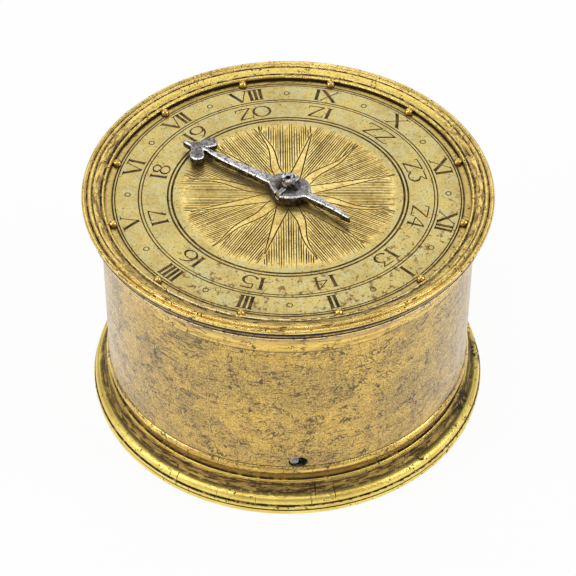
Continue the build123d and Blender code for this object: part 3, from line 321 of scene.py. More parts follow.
def wall_gilding():
    """Drum wall: tan gold with fine pits, short scratches and brown clouds. Painted shade is black in the
    gap at the foot, under the rim and in the catch slot, and a painted highlight runs along the lip of the
    cornice.
    """
    paint = Paint("gilt_wall")
    radius, z = paint.radius(), paint.z
    flat = paint.unrolled(reach("drum_wall"))
    clouds = paint.noise(9, 4, 0.62, 0.5)
    mottle = paint.noise(1.7, 5, 0.78, 0.6)
    rosy = paint.noise(3.4, 4, 0.7, 0.8)
    grain = paint.noise(0.24, 2, 0.7)
    specks = paint.noise(0.5, 3, 0.75, 0.4)
    colour = paint.between(clouds, 0.38, 0.62, (0.8, 0.52, 0.095), (0.54, 0.36, 0.08))
    colour = paint.stain(colour, rosy, 0.52, 0.64, 0.6, (0.46, 0.255, 0.065))
    colour = paint.stain(colour, mottle, 0.5, 0.64, 0.55, (0.27, 0.16, 0.045))
    colour = paint.stain(colour, grain, 0.52, 0.64, 0.75, (0.15, 0.085, 0.025))
    colour = paint.stain(colour, grain, 0.47, 0.3, 0.9, (1.0, 0.72, 0.22))
    crowded = paint.patches(0.57, 0.64, 3.6, 3, 0.65, 0.5)
    dark_specks = paint.times(paint.window(specks, 0.53, 0.58), crowded, 0.85)
    pits = paint.pits(0.55, 0.16, 0.3, paint.noise(3.0, 4, 0.75), 0.5, 0.57)
    straight = []
    for share, degrees, least in ((0.1, 24, 0.64), (0.13, -38, 0.66), (0.16, 75, 0.68), (0.07, 4, 0.66)):
        streaks = paint.noise(0.5, 2, 0.6, 1.4, paint.stretched(flat, share, 1, 1, degrees))
        straight.append(paint.window(streaks, least, least + 0.03))
    curved = []
    for size, degrees in ((5.5, 0), (4.0, 40)):
        contour = paint.noise(size, 1, 0.5, 1.6, paint.stretched(flat, 1, 1.25, 1, degrees))
        curved.append(paint.line(contour, 0.5, 0.008, 0.008))
    curls = paint.times(paint.most(*curved), paint.patches(0.45, 0.51, 4.2, 2, 0.6))
    scratches = paint.most(*straight, curls)
    top, low = level("drum_wall", 1), level("drum_wall", 0)
    # Painted shade: black in the gap where the foot of the wall stands on the base. It joins the groove
    # lines below.
    gap_shade_below = paint.window(z, low + 0.2, low + 0.06)
    grooves = paint.most(
        paint.line(z, top - 0.86, 0.08, 0.1),
        paint.line(z, top - cornice_height, 0.03, 0.12),
        paint.line(z, low + foot_bead_height, 0.02, 0.12),
        paint.times(gap_shade_below, paint.window(radius, wall_radius - 0.1, wall_radius)),
    )
    grime_and_shade = paint.most(paint.ragged(grooves, 0.45, 0.3, 0.5, 1.1), paint.times(pits, 0.85), dark_specks)
    streaky = paint.noise(0.7, 4, 0.7, 0.3, paint.stretched(flat, 0.06, 1, 1))
    beads = paint.most(
        paint.window(z, top - 6.7, top - 6.5),
        paint.span(z, low + 1.6, low + 2.1, low + 3.1, low + 3.3),
    )
    bright = paint.between(streaky, 0.42, 0.6, (1.0, 0.7, 0.14), (0.62, 0.37, 0.07))
    colour = paint.cover(colour, beads, 0.85, bright)
    hollow = paint.span(z, top - 4.6, top - 3.4, top - 1.6, top - 1.4)
    burnt = paint.between(streaky, 0.4, 0.62, (0.58, 0.34, 0.07), (0.3, 0.15, 0.035))
    colour = paint.cover(colour, hollow, 0.7, burnt)
    # Painted highlight: a pale gold line along the lip of the cornice.
    lip = paint.line(z, top - 1.24, 0.14, 0.12)
    colour = paint.mix(lip, colour, (1.0, 0.82, 0.4))
    above = paint.window(z, top - 0.8, top - 0.72)
    colour = paint.cover(colour, above, 0.9, burnt)
    # Painted shade: black at the top of the cornice, under the rim.
    rim_seam_shade = paint.times(paint.window(z, top - 0.42, top - 0.3), paint.window(radius, 30, 31))
    under = paint.window(z, low + 2.2, low + 1.2)
    colour = paint.cover(colour, under, 0.8, (0.5, 0.3, 0.085))
    colour = paint.cover(colour, scratches, 0.85, dirt_brown)
    # Painted shade: black inside the catch slot.
    slot_shade = paint.times(
        paint.window(radius, wall_radius - 0.3, wall_radius - 0.6),
        paint.window(paint.y, -28.0, -30.0),
        paint.window(z, low + 0.3, low + 0.6),
    )
    grime_and_shade = paint.most(grime_and_shade, rim_seam_shade, slot_shade)
    colour = paint.mix(grime_and_shade, colour, tarnish_and_shade_black)
    paint.bump((grain, 0.07), (mottle, 0.08), (paint.opposite(grime_and_shade), 0.06), (clouds, 0.35))
    roughness = paint.blend(paint.most(beads, lip), paint.blend(mottle, 0.3, 0.46), 0.22)
    paint.lacquer(0.8, 1.5, 0.28)
    return paint.finish_worn(colour, roughness, grime_and_shade, 0.8, 0.15)


def rim_gilding():
    """Rim: bright gold beads with black grooves, and a mottled sloping band. Painted shade is black under
    the outer bead and just above the dial, and brown on the front of the band; painted highlights lie on
    the inner lip and the back of the band.
    """
    paint = Paint("gilt_rim")
    radius, z = paint.radius(), paint.z
    outer = reach("rim")
    band_low = level("rim", 0) + rim_spigot
    mottle = paint.noise(1.3, 5, 0.75, 0.5)
    clouds = paint.noise(6, 3, 0.6, 0.3)
    grain = paint.noise(0.3, 3, 0.8)
    streaks = paint.noise(0.5, 4, 0.7, 0.4, paint.vector(paint.along(6.0), radius, 0))
    # Front of the rim: more flaking there, painted shade on the band and a paler painted highlight on the
    # lip.
    front_wear_and_light = paint.window(paint.y, -14.0, -28.0)
    back = paint.window(paint.y, 12.0, 26.0)
    band = paint.span(radius, outer - 3.5, outer - 3.3, outer - 2.1, outer - 1.95)
    colour = paint.between(clouds, 0.4, 0.62, (0.95, 0.7, 0.22), (0.78, 0.54, 0.16))
    worn = paint.between(streaks, 0.42, 0.6, (0.98, 0.72, 0.22), (0.3, 0.18, 0.055))
    # Painted reflection: the band turns bright gold at the back.
    worn = paint.cover(worn, back, 0.85, (1.0, 0.76, 0.2))
    colour = paint.mix(band, colour, worn)
    colour = paint.stain(colour, mottle, 0.52, 0.68, 0.55, (0.42, 0.27, 0.08))
    colour = paint.stain(colour, grain, 0.53, 0.7, 0.6, (0.26, 0.16, 0.05))
    # Painted shade: the sloping band is darker brown at the front.
    colour = paint.mix(paint.times(front_wear_and_light, band, 0.3), colour, (0.4, 0.26, 0.08))
    grooves = paint.most(
        paint.times(paint.line(radius, outer - 0.98, 0.06, 0.1), paint.blend(front_wear_and_light, 1.0, 0.15)),
        paint.times(paint.line(radius, outer - 1.92, 0.05, 0.1), paint.blend(front_wear_and_light, 1.0, 0.4)),
        paint.line(radius, outer - 3.42, 0.1, 0.12),
    )
    pits = paint.pits(0.7, 0.14, 0.3, paint.noise(2.6, 3), 0.48, 0.56)
    patches = paint.window(paint.math("ADD", streaks, paint.times(front_wear_and_light, 0.05)), 0.64, 0.68)
    worn_grooves = paint.ragged(grooves, 0.35, 0.36, 0.54, 1.6)
    # Painted shade: black on the underside of the outer bead.
    undercut_shade = paint.window(z, band_low + 0.72, band_low + 0.6)
    undercut_shade = paint.times(undercut_shade, paint.window(radius, outer - 1.2, outer - 1.0))
    # Painted shade: black on the inner wall of the rim just above the dial, between rim and dial.
    bore = paint.window(radius, outer - 3.9, outer - 3.98)
    bore = paint.times(bore, paint.window(z, dial_top + 0.5, dial_top + 0.34))
    cove = paint.line(radius, outer - 3.2, 0.12, 0.3)
    cove = paint.times(cove, front_wear_and_light, paint.window(streaks, 0.42, 0.56))
    # Fewer flakes at the back, where the painted reflection lies.
    flaked = paint.times(patches, paint.blend(back, 0.9, 0.3))
    grime_and_shade = paint.most(worn_grooves, undercut_shade, bore, pits, cove, flaked)
    # Painted highlight: a pale gold line along the inner lip, palest at the front.
    lip = paint.line(radius, outer - 3.78, 0.1, 0.1)
    lip_gold = paint.mix(front_wear_and_light, (0.9, 0.64, 0.18), (1.0, 0.86, 0.5))
    colour = paint.cover(colour, lip, 0.8, lip_gold)
    colour = paint.mix(grime_and_shade, colour, tarnish_and_shade_black)
    paint.bump((grain, 0.05), (mottle, 0.12), (paint.opposite(grime_and_shade), 0.08), (clouds, 0.25))
    roughness = paint.blend(band, 0.2, 0.3)
    return paint.finish_worn(colour, roughness, grime_and_shade, 0.8, 0.15)


def base_gilding():
    """Foot: bright outer mouldings with sparse pits and a rough brown hollow, with painted shade in the gap
    under the drum wall.
    """
    paint = Paint("gilt_foot")
    radius, z = paint.radius(), paint.z
    low = level("base_ring", 0)
    mottle = paint.noise(1.0, 5, 0.76, 0.5)
    clouds = paint.noise(7, 3, 0.6, 0.3)
    grain = paint.noise(0.3, 3, 0.8)
    colour = paint.between(clouds, 0.4, 0.62, (1.0, 0.78, 0.2), (0.88, 0.63, 0.14))
    hollow = paint.times(paint.window(z, low + 3.0, low + 3.15), paint.window(radius, 34.3, 34.5))
    azimuth = paint.azimuth()
    streaks = paint.noise(0.6, 4, 0.75, 0.5, paint.vector(paint.along(7.0), radius, z))
    rough_brown = paint.between(streaks, 0.4, 0.6, (0.52, 0.34, 0.1), (0.08, 0.048, 0.016))
    colour = paint.mix(hollow, colour, rough_brown)
    colour = paint.stain(colour, grain, 0.54, 0.72, 0.5, (0.3, 0.19, 0.06))
    # Painted shade: black in the gap where the drum wall stands on the foot.
    drum_gap_shade = paint.line(radius, wall_radius, 0.12, 0.1)
    grooves = paint.most(
        paint.line(z, low + 0.24, 0.19, 0.14),
        paint.line(z, low + 1.3, 0.14, 0.12),
        paint.times(paint.line(z, low + 3.02, 0.04, 0.12), 0.9),
        paint.times(paint.line(z, low + 4.42, 0.03, 0.1), 0.8),
        paint.times(drum_gap_shade, paint.window(z, low + 4.2, low + 4.5)),
    )
    # Ragged groove lines, with the painted shade of the drum's gap among them.
    worn_grooves = paint.ragged(grooves, 0.45, 0.3, 0.5, 1.4)
    flat = paint.unrolled(reach("base_ring"))
    cracks = paint.patches(0.68, 0.71, 0.6, 2, 0.5, 0.5, paint.stretched(flat, 1, 0.12, 1, 14))
    cracks = paint.times(cracks, paint.patches(0.48, 0.54, 6, 1))
    pits = paint.pits(0.7, 0.14, 0.28, paint.noise(2.4, 3), 0.5, 0.58)
    flank = paint.times(paint.window(paint.x, 18.0, 30.0), 0.07)
    patches = paint.window(paint.math("ADD", paint.noise(2.6, 5, 0.75, 0.6), flank), 0.65, 0.68)
    flaked = paint.most(
        paint.times(paint.line(azimuth, 1.2, 0.05, 0.1), paint.window(radius, 35.9, 35.5)),
        paint.times(paint.line(azimuth, 1.62, 0.03, 0.08), paint.window(radius, 35.0, 35.4)),
    )
    flakes = paint.patches(0.46, 0.5, 1.1, 4, 0.75, 0.5)
    flaked = paint.times(flaked, paint.window(radius, 34.0, 34.4), flakes)
    grime_and_shade = paint.most(worn_grooves, pits, cracks, flaked, paint.times(patches, 0.95))
    colour = paint.mix(grime_and_shade, colour, tarnish_and_shade_black)
    paint.bump((grain, 0.05), (mottle, 0.08), (paint.opposite(grime_and_shade), 0.08), (clouds, 0.25))
    indoors = paint.window(radius, 33.7, 33.5)
    plain_brass = paint.between(clouds, 0.35, 0.65, (0.6, 0.42, 0.14), (0.4, 0.27, 0.08))
    colour = paint.mix(indoors, colour, plain_brass)
    grime_and_shade = paint.times(grime_and_shade, paint.blend(indoors, 1.0, 0.25))
    roughness = paint.blend(hollow, 0.3, 0.5)
    return paint.finish_worn(colour, roughness, grime_and_shade, 0.8, 0.15)


def dial_gilding():
    """Dial: pale greenish gold with small pits and reddish brown stains, and painted light and shade on its
    edge band.
    """
    paint = Paint("gilt_dial")
    clouds = paint.noise(7.5, 4, 0.62, 0.6)
    silver = paint.noise(2.6, 5, 0.72, 0.9)
    grain = paint.noise(0.4, 3, 0.8)
    specks = paint.noise(0.55, 3, 0.75, 0.3)
    radius = paint.radius()
    sun = paint.window(radius, 20.0, 18.6)
    field = paint.between(clouds, 0.38, 0.62, (0.65, 0.51, 0.17), (0.54, 0.42, 0.145))
    field = paint.stain(field, silver, 0.46, 0.62, 0.7, (0.6, 0.57, 0.3))
    warm = paint.between(clouds, 0.35, 0.65, (0.98, 0.77, 0.28), (0.82, 0.6, 0.18))
    colour = paint.mix(paint.times(sun, 0.9), field, warm)
    colour = paint.stain(colour, grain, 0.52, 0.7, 0.75, (0.24, 0.16, 0.05))
    colour = paint.stain(colour, grain, 0.45, 0.25, 0.4, (0.88, 0.78, 0.42))
    edge = paint.window(radius, 31.5, 31.65)
    # Painted highlight along the middle of the flat edge band and painted shade at its sides, as on a
    # rounded moulding.
    across = paint.line(radius, 32.25, 0.15, 0.6)
    shaded_fillet = paint.mix(across, (0.24, 0.16, 0.045), (0.52, 0.39, 0.12))
    colour = paint.cover(colour, edge, 0.9, shaded_fillet)
    burnt = paint.times(sun, paint.patches(0.48, 0.62, 2.0, 4, 0.7, 0.5))
    colour = paint.cover(colour, burnt, 0.6, (0.5, 0.31, 0.08))
    foot = paint.times(paint.window(radius, 30.0, 31.4), paint.patches(0.42, 0.62, 1.5, 3, 0.7))
    colour = paint.cover(colour, foot, 0.5, (0.34, 0.23, 0.07))
    stain_noise = paint.noise(1.3, 5, 0.72, 0.4)
    front = paint.window(paint.math("ADD", paint.math("MULTIPLY", paint.x, -0.35), paint.y), 6.0, -22.0)
    outer = paint.window(radius, 19.5, 22.5)
    level_of_stains = paint.math("ADD", stain_noise, paint.math("MULTIPLY", paint.times(front, outer), 0.1))
    stains = paint.window(level_of_stains, 0.66, 0.7)
    colour = paint.cover(colour, stains, 0.8, (0.26, 0.115, 0.03))
    pits = paint.pits(0.7, 0.1, 0.2, paint.noise(2.4, 3), 0.46, 0.56)
    fine = paint.times(paint.window(specks, 0.6, 0.65), paint.window(silver, 0.5, 0.42))
    colour = paint.mix(paint.times(paint.most(pits, fine), 0.8), colour, dirt_brown)
    paint.bump((grain, 0.03), (silver, 0.04), (paint.opposite(pits), 0.05), (clouds, 0.3))
    roughness = paint.blend(edge, paint.blend(silver, 0.3, 0.46), 0.26)
    dull = paint.most(stains, pits)
    return paint.finish_worn(colour, roughness, dull, 0.65, 0.5)


def engraved_lines():
    """Inside of the engraved lines: old dark wax, worn away here and there."""
    paint = Paint("engraving")
    worn = paint.noise(1.7, 4, 0.7, 0.5)
    radius = paint.radius()
    sun = paint.window(radius, 20.6, 19.6)
    dark = paint.between(worn, 0.4, 0.6, (0.045, 0.026, 0.01), (0.18, 0.1, 0.03))
    light = paint.between(worn, 0.36, 0.56, (0.02, 0.014, 0.006), (0.14, 0.08, 0.018))
    colour = paint.mix(sun, dark, light)
    return paint.finish(colour, 0.55, 0.5)


def pin_gilding():
    """Touch pins: bright gold, with painted shade at the foot."""
    paint = Paint("gilt_pins")
    mottle = paint.noise(0.5, 3, 0.7)
    colour = paint.between(mottle, 0.42, 0.66, (0.86, 0.6, 0.16), (0.5, 0.31, 0.08))
    # Painted shade: near black at the foot of each pin, where it meets the dial.
    foot = paint.window(paint.z, dial_top + 0.4, dial_top + 0.1)
    colour = paint.mix(foot, colour, tarnish_and_shade_black)
    paint.bump((mottle, 0.04))
    return paint.finish_worn(colour, 0.26, foot, 0.7, 0.2)


def forged_iron():
    """Hand: pitted grey on top and dark brown on the sides, painted as light and shade by which way each
    face points, with a painted highlight on the edges and painted shade in the arbor's centre hole.
    """
    paint = Paint("forged_iron")
    upward = paint.node("SeparateXYZ", {0: paint.coordinates["Normal"]}).outputs[2]
    radius = paint.radius()
    mottle = paint.noise(0.8, 4, 0.75, 0.3)
    grain = paint.noise(0.22, 3, 0.8)
    light = paint.between(mottle, 0.42, 0.6, (0.72, 0.7, 0.7), (0.3, 0.27, 0.265))
    hub = paint.between(mottle, 0.36, 0.56, (0.4, 0.36, 0.35), (0.13, 0.11, 0.105))
    hub_or_head = paint.most(paint.window(radius, 4.6, 3.4), paint.line(radius, 19.2, 1.6, 1.2))
    light = paint.cover(light, hub_or_head, 0.85, hub)
    light = paint.stain(light, grain, 0.52, 0.66, 0.8, (0.06, 0.05, 0.048))
    dark = paint.between(mottle, 0.42, 0.6, (0.16, 0.12, 0.085), (0.02, 0.014, 0.01))
    # Painted light and shade: faces that point up take the lit grey, the sides the dark brown shade.
    colour = paint.mix(paint.window(upward, 0.3, 0.6), dark, light)
    end = paint.window(paint.z, hub_top + 0.5, hub_top + 0.7)
    worn_end = paint.between(mottle, 0.46, 0.56, (0.9, 0.88, 0.86), (0.05, 0.04, 0.035))
    colour = paint.cover(colour, end, 0.9, worn_end)
    # Painted shade: a black disc in the middle of the arbor's end, for its centre hole.
    hole = paint.times(end, paint.window(radius, 0.62, 0.45))
    # Painted highlight: near white on the chamfers, found by how far their faces tilt up.
    edges = paint.line(upward, 0.72, 0.17, 0.12)
    colour = paint.cover(colour, edges, 0.85, (0.95, 0.93, 0.93))
    pits = paint.pits(0.45, 0.18, 0.36, paint.noise(1.2, 2), 0.46, 0.54)
    ring_of_dirt = paint.times(paint.line(radius, 1.75, 0.3, 0.5), paint.window(mottle, 0.62, 0.46))
    low_dirt = paint.times(ring_of_dirt, paint.window(paint.z, hub_top + 0.5, hub_top + 0.2))
    grime_and_shade = paint.most(pits, low_dirt, hole)
    colour = paint.mix(grime_and_shade, colour, (0.014, 0.01, 0.008))
    paint.bump((grain, 0.06), (mottle, 0.12), (paint.opposite(pits), 0.1))
    roughness = paint.blend(edges, paint.blend(mottle, 0.26, 0.42), 0.2)
    return paint.finish_worn(colour, roughness, grime_and_shade, 0.7, 0.4)


def plain_metal(name, light, dark, roughness, size=0.8):
    """Metal of the movement, hinge and catch: filed surface with a light tarnish."""
    paint = Paint(name)
    mottle = paint.noise(size, 4, 0.66, 0.4)
    brushed = paint.noise(0.35, 2, 0.6, 0, paint.stretched(paint.place, 1, 0.12, 0.3, 20))
    colour = paint.mix(paint.window(mottle, 0.35, 0.68), light, dark)
    paint.bump((brushed, 0.02), (mottle, 0.03))
    return paint.finish(colour, paint.blend(mottle, roughness - 0.06, roughness + 0.1), 1.0)


def twisted_gut():
    """Gut line: waxed and twisted."""
    paint = Paint("gut_cord")
    twist = paint.noise(0.4, 2, 0.6, 0, paint.stretched(paint.place, 1, 1, 0.3, 40))
    colour = paint.between(twist, 0.35, 0.65, (0.5, 0.33, 0.13), (0.3, 0.18, 0.06))
    paint.bump((twist, 0.05))
    return paint.finish(colour, 0.55, 0.0)


slot_materials = {
    "case_brass": wall_gilding(),
    "rim_brass": rim_gilding(),
    "dial_brass": dial_gilding(),
    "pin_brass": pin_gilding(),
    "hand_iron": forged_iron(),
    "steel": plain_metal("filed_steel", (0.5, 0.49, 0.48), (0.25, 0.23, 0.22), 0.35),
    "spring_steel": plain_metal("blued_spring", (0.2, 0.22, 0.27), (0.1, 0.1, 0.13), 0.3),
    "movement_brass": plain_metal("movement_brass", (0.7, 0.5, 0.18), (0.5, 0.34, 0.1), 0.3, 2.5),
    "gut": twisted_gut(),
}
foot_brass = base_gilding()
hinge_brass = plain_metal("hinge_brass", (0.72, 0.5, 0.15), (0.42, 0.27, 0.07), 0.32, 1.5)
own_materials = {
    "base_ring": foot_brass,
    "base_plate": foot_brass,
    "hinge_base_leaf": hinge_brass,
    "hinge_drum_leaf": hinge_brass,
    "hour_arbor": slot_materials["hand_iron"],
    "catch_bolt": plain_metal("catch_steel", (0.42, 0.42, 0.44), (0.02, 0.02, 0.022), 0.3, 0.5),
}
engraving = engraved_lines()


def dress_frame():
    """Every node that stays visible takes the material of its slot, or its own."""
    for part in frame["record"]["subparts"]:
        node = nodes[part["node"]]
        material = own_materials.get(part["node"], slot_materials[part["material_slot"]])
        node.data.materials.clear()
        node.data.materials.append(material)


# Engraved dial

class Engraving:
    """Plan of the dial: outlines cut into it, each with a bottom line at a depth."""

    def __init__(self):
        self.points = []
        self.depths = []
        self.edges = []
        self.faces = []

    def add_point(self, x, y, depth):
        self.points.append(Vector((x, y)))
        self.depths.append(depth)
        return len(self.points) - 1

    def plain_loop(self, points):
        """An outline at the level of the dial's face."""
        self.faces.append([self.add_point(x, y, 0) for x, y in points])

    def groove(self, points, widths, depth):
        """A stroke along points whose width is given at each point, or is the same all along."""
        count = len(points)
        if not isinstance(widths, (list, tuple)):
            widths = [widths] * count
        left, right = [], []
        for k in range(count):
            dx, dy = heading(points, k)
            length = math.hypot(dx, dy) or 1
            nx, ny = -dy / length * widths[k] / 2, dx / length * widths[k] / 2
            left.append((points[k][0] + nx, points[k][1] + ny))
            right.append((points[k][0] - nx, points[k][1] - ny))
        bottom = list(points)
        bottom[0] = moved(points[0], points[1], widths[0] / 2)
        bottom[-1] = moved(points[-1], points[-2], widths[-1] / 2)
        self.cut(right + left[::-1], bottom, depth)

    def cut(self, outline, bottom, depth):
        """A groove with its outline at the dial's face, and its bottom line at a depth."""
        self.plain_loop(outline)
        row = [self.add_point(x, y, depth) for x, y in bottom]
        self.edges += list(zip(row, row[1:]))

    def mesh(self):
        """Top face of the plate as triangles, with the grooves pushed down. The first two faces
        of the plan are the plate and its hole."""
        points, _, faces, from_points, _, from_faces = delaunay_2d_cdt(
            self.points, self.edges, self.faces, 1, 1e-5, True
        )
        engraved = [any(source > 1 for source in sources) for sources in from_faces]
        hole = [1 in sources for sources in from_faces]
        kept = [k for k in range(len(faces)) if not hole[k]]
        open_point = [False] * len(points)
        for k, face in enumerate(faces):
            if not engraved[k] or hole[k]:
                for corner in face:
                    open_point[corner] = True
        vertices = []
        for k, point in enumerate(points):
            depth = 0
            if not open_point[k]:
                depth = max([self.depths[source] for source in from_points[k]] + [least_depth])
            vertices.append((point.x * MM, point.y * MM, (dial_top - depth) * MM))
        return vertices, [list(faces[k]) for k in kept], [int(engraved[k]) for k in kept]


def heading(points, k):
    """Step from the point before point k to the point after it."""
    before, after = points[max(k - 1, 0)], points[min(k + 1, len(points) - 1)]
    return after[0] - before[0], after[1] - before[1]


def moved(start, towards, distance):
    """Start moved towards another point, by less than half of the way."""
    dx, dy = towards[0] - start[0], towards[1] - start[1]
    length = math.hypot(dx, dy) or 1
    step = min(distance, 0.45 * length)
    return start[0] + dx / length * step, start[1] + dy / length * step


def arc(cx, cy, rx, ry, start, end, count):
    """Points on an ellipse, angles in degrees, anticlockwise from +X."""
    return [
        (cx + rx * math.cos(math.radians(a)), cy + ry * math.sin(math.radians(a)))
        for a in (start + (end - start) * k / (count - 1) for k in range(count))
    ]


def swelling(points, least, most):
    """Widths of a curved stroke: widest where it runs up and down, thinnest where it runs across."""
    widths = []
    for k in range(len(points)):
        dx, dy = heading(points, k)
        upright = abs(dy) / (math.hypot(dx, dy) or 1)
        widths.append(least + (most - least) * upright ** 2)
    return widths


def oval(centre, rx, ry, count, least, most):
    """Two half ellipses that meet at the top and bottom."""
    halves = [arc(0, centre, rx, ry, start, start + 180, count) for start in (90, -90)]
    return [(half, swelling(half, least, most)) for half in halves]


# Widths of the straight strokes, and how far a serif's middle stands from the end of its letter
thin = 0.2
thick = 0.62
serif_width = 0.17
edge = 0.07


def serif(start, end, height):
    return [(start, height), (end, height)], serif_width


# Each letter or figure gives its width and its strokes, for a height of h

def letter_i(h, reach=0.45, width=0.95):
    return width, [([(0, 0), (0, h)], thick), serif(-reach, reach, edge), serif(-reach, reach, h - edge)]


def letter_v(h):
    return 3.3, [
        ([(-1.45, h), (0.15, 0)], thick),
        ([(1.45, h), (0.15, 0)], thin),
        serif(-2.0, -0.9, h - edge),
        serif(1.0, 1.9, h - edge),
    ]


def letter_x(h):
    return 3.5, [
        ([(-1.4, h), (1.4, 0)], thick),
        ([(1.45, h), (-1.45, 0)], thin),
        serif(-1.95, -0.9, h - edge),
        serif(0.95, 1.9, h - edge),
        serif(0.9, 1.95, edge),
        serif(-1.95, -1.0, edge),
    ]


def figure_1(h):
    return letter_i(h, 0.55, 1.6)


def figure_2(h):
    return 3.1, [
        ([(-1.35, h - 0.12), (1.35, h - 0.12)], [0.2, 0.26]),
        ([(1.25, h - 0.15), (-1.2, 0.15)], [0.3, 0.46]),
        ([(-1.4, 0.13), (1.4, 0.13)], [0.28, 0.2]),
        ([(-1.35, h), (-1.45, h - 0.7)], 0.18),
        ([(1.4, 0.05), (1.45, 0.75)], 0.18),
    ]


def figure_3(h):
    bowl = arc(-0.1, 0.32 * h, 1.25, 0.34 * h, 80, -165, 16)
    return 3.0, [
        ([(-1.2, h - 0.1), (1.05, h - 0.1)], 0.24),
        ([(1.0, h - 0.1), (0.0, 0.66 * h)], 0.22),
        (bowl, swelling(bowl, 0.22, 0.52)),
    ]


def figure_4(h):
    return 2.9, [
        ([(0.65, 0), (0.65, h)], 0.46),
        ([(0.6, h), (-1.3, 0.34 * h)], 0.2),
        ([(-1.35, 0.34 * h), (1.35, 0.34 * h)], 0.22),
        serif(0.15, 1.15, edge),
    ]


def figure_5(h):
    bowl = arc(-0.15, 0.32 * h, 1.3, 0.34 * h, 112, -160, 16)
    return 2.9, [
        ([(-0.9, h - 0.12), (1.2, h - 0.12)], 0.3),
        ([(-0.8, h - 0.1), (-0.8, 0.58 * h)], 0.22),
        (bowl, swelling(bowl, 0.22, 0.54)),
    ]


def figure_6(h):
    stem = arc(0.75, 0.36 * h, 2.0, 0.66 * h, 174, 92, 10)
    return 3.0, oval(0.31 * h, 1.25, 0.31 * h, 12, 0.2, 0.52) + [(stem, swelling(stem, 0.18, 0.46))]


def figure_7(h):
    return 2.8, [
        ([(-1.2, h - 0.13), (1.25, h - 0.13)], 0.28),
        ([(1.15, h - 0.15), (-0.35, 0)], [0.22, 0.52]),
        ([(-1.2, h), (-1.25, h - 0.7)], 0.18),
    ]


def figure_8(h):
    return 2.5, oval(0.27 * h, 1.1, 0.27 * h, 11, 0.2, 0.48) + oval(0.77 * h, 0.85, 0.23 * h, 11, 0.2, 0.48)


def figure_9(h):
    width, strokes = figure_6(h)
    return width, [([(-x, h - y) for x, y in points], widths) for points, widths in strokes]


def figure_0(h):
    return 3.5, oval(0.5 * h, 1.55, 0.47 * h, 14, 0.22, 0.54)


glyphs = {
    "I": letter_i, "V": letter_v, "X": letter_x,
    "0": figure_0, "1": figure_1, "2": figure_2, "3": figure_3, "4": figure_4,
    "5": figure_5, "6": figure_6, "7": figure_7, "8": figure_8, "9": figure_9,
}
roman_hours = ("XII", "I", "II", "III", "IIII", "V", "VI", "VII", "VIII", "IX", "X", "XI")
inner_hours = ("24", "13", "14", "15", "16", "17", "18", "19", "20", "21", "22", "23")


def cut_number(plan, text, base, height, azimuth, depth):
    """Cuts a number with its foot on the circle base and its head outwards."""
    shapes = [glyphs[character](height) for character in text]
    total = sum(width for width, _ in shapes)
    x = -total / 2
    for width, strokes in shapes:
        middle = x + width / 2
        x += width
        for points, widths in strokes:
            placed = []
            for px, py in densified(points):
                # x runs clockwise along the circle, y outwards
                out = base + py
                bend = (middle + px) / (base + height / 2)
                angle = math.radians(azimuth) - bend
                placed.append((out * math.cos(angle), out * math.sin(angle)))
            if isinstance(widths, (list, tuple)) and len(widths) != len(placed):
                first, last = widths[0], widths[-1]
                widths = [first + (last - first) * k / (len(placed) - 1) for k in range(len(placed))]
            plan.groove(placed, widths, depth)


def densified(points):
    """Straight strokes get points between their ends, so that they follow the circle."""
    if len(points) > 2:
        return points
    (ax, ay), (bx, by) = points
    return [(ax + (bx - ax) * k / 4, ay + (by - ay) * k / 4) for k in range(5)]


def cut_ring(plan, radius, width, depth, centre=(0, 0), arcs=12, steps=24):
    """A ring as a chain of arcs, with exactly radial ends so that neighbours meet."""
    cx, cy = centre
    for k in range(arcs):
        around = [polar(radius, 360 * (k + j / steps) / arcs) for j in range(steps + 1)]
        points = [(cx + x, cy + y) for x, y in around]
        sides = []
        for share in (1 + width / 2 / radius, 1 - width / 2 / radius):
            sides.append([(cx + (x - cx) * share, cy + (y - cy) * share) for x, y in points])
        plan.cut(sides[0] + sides[1][::-1], points, depth)


def off_axis(direction, along, across):
    """Place along a direction from the centre, and across to its left."""
    ux, uy = direction
    return ux * along - uy * across, uy * along + ux * across


def ray_sway(k, radius):
    """Sideways shift of the middle of ray k at a radius."""
    if not sun_rays[k % hours][1]:
        return 0.0
    rise = min(1.0, (radius - ray_root_radius) / wave_rise)
    return wave_height * rise * math.sin(2 * math.pi * (radius - wave_start) / wave_length)


def ray_half_width(k, radius):
    """Half the width of ray k at a radius, 0 past its tip."""
    tip, wavy = sun_rays[k % hours]
    root = wavy_root_half_width if wavy else straight_root_half_width
    share = max(0.0, (tip - radius) / (tip - ray_root_radius))
    return root * share ** ray_taper


def ray_azimuth(k):
    """Direction of hour k, clockwise from twelve."""
    return twelve_angle - hour_step * k


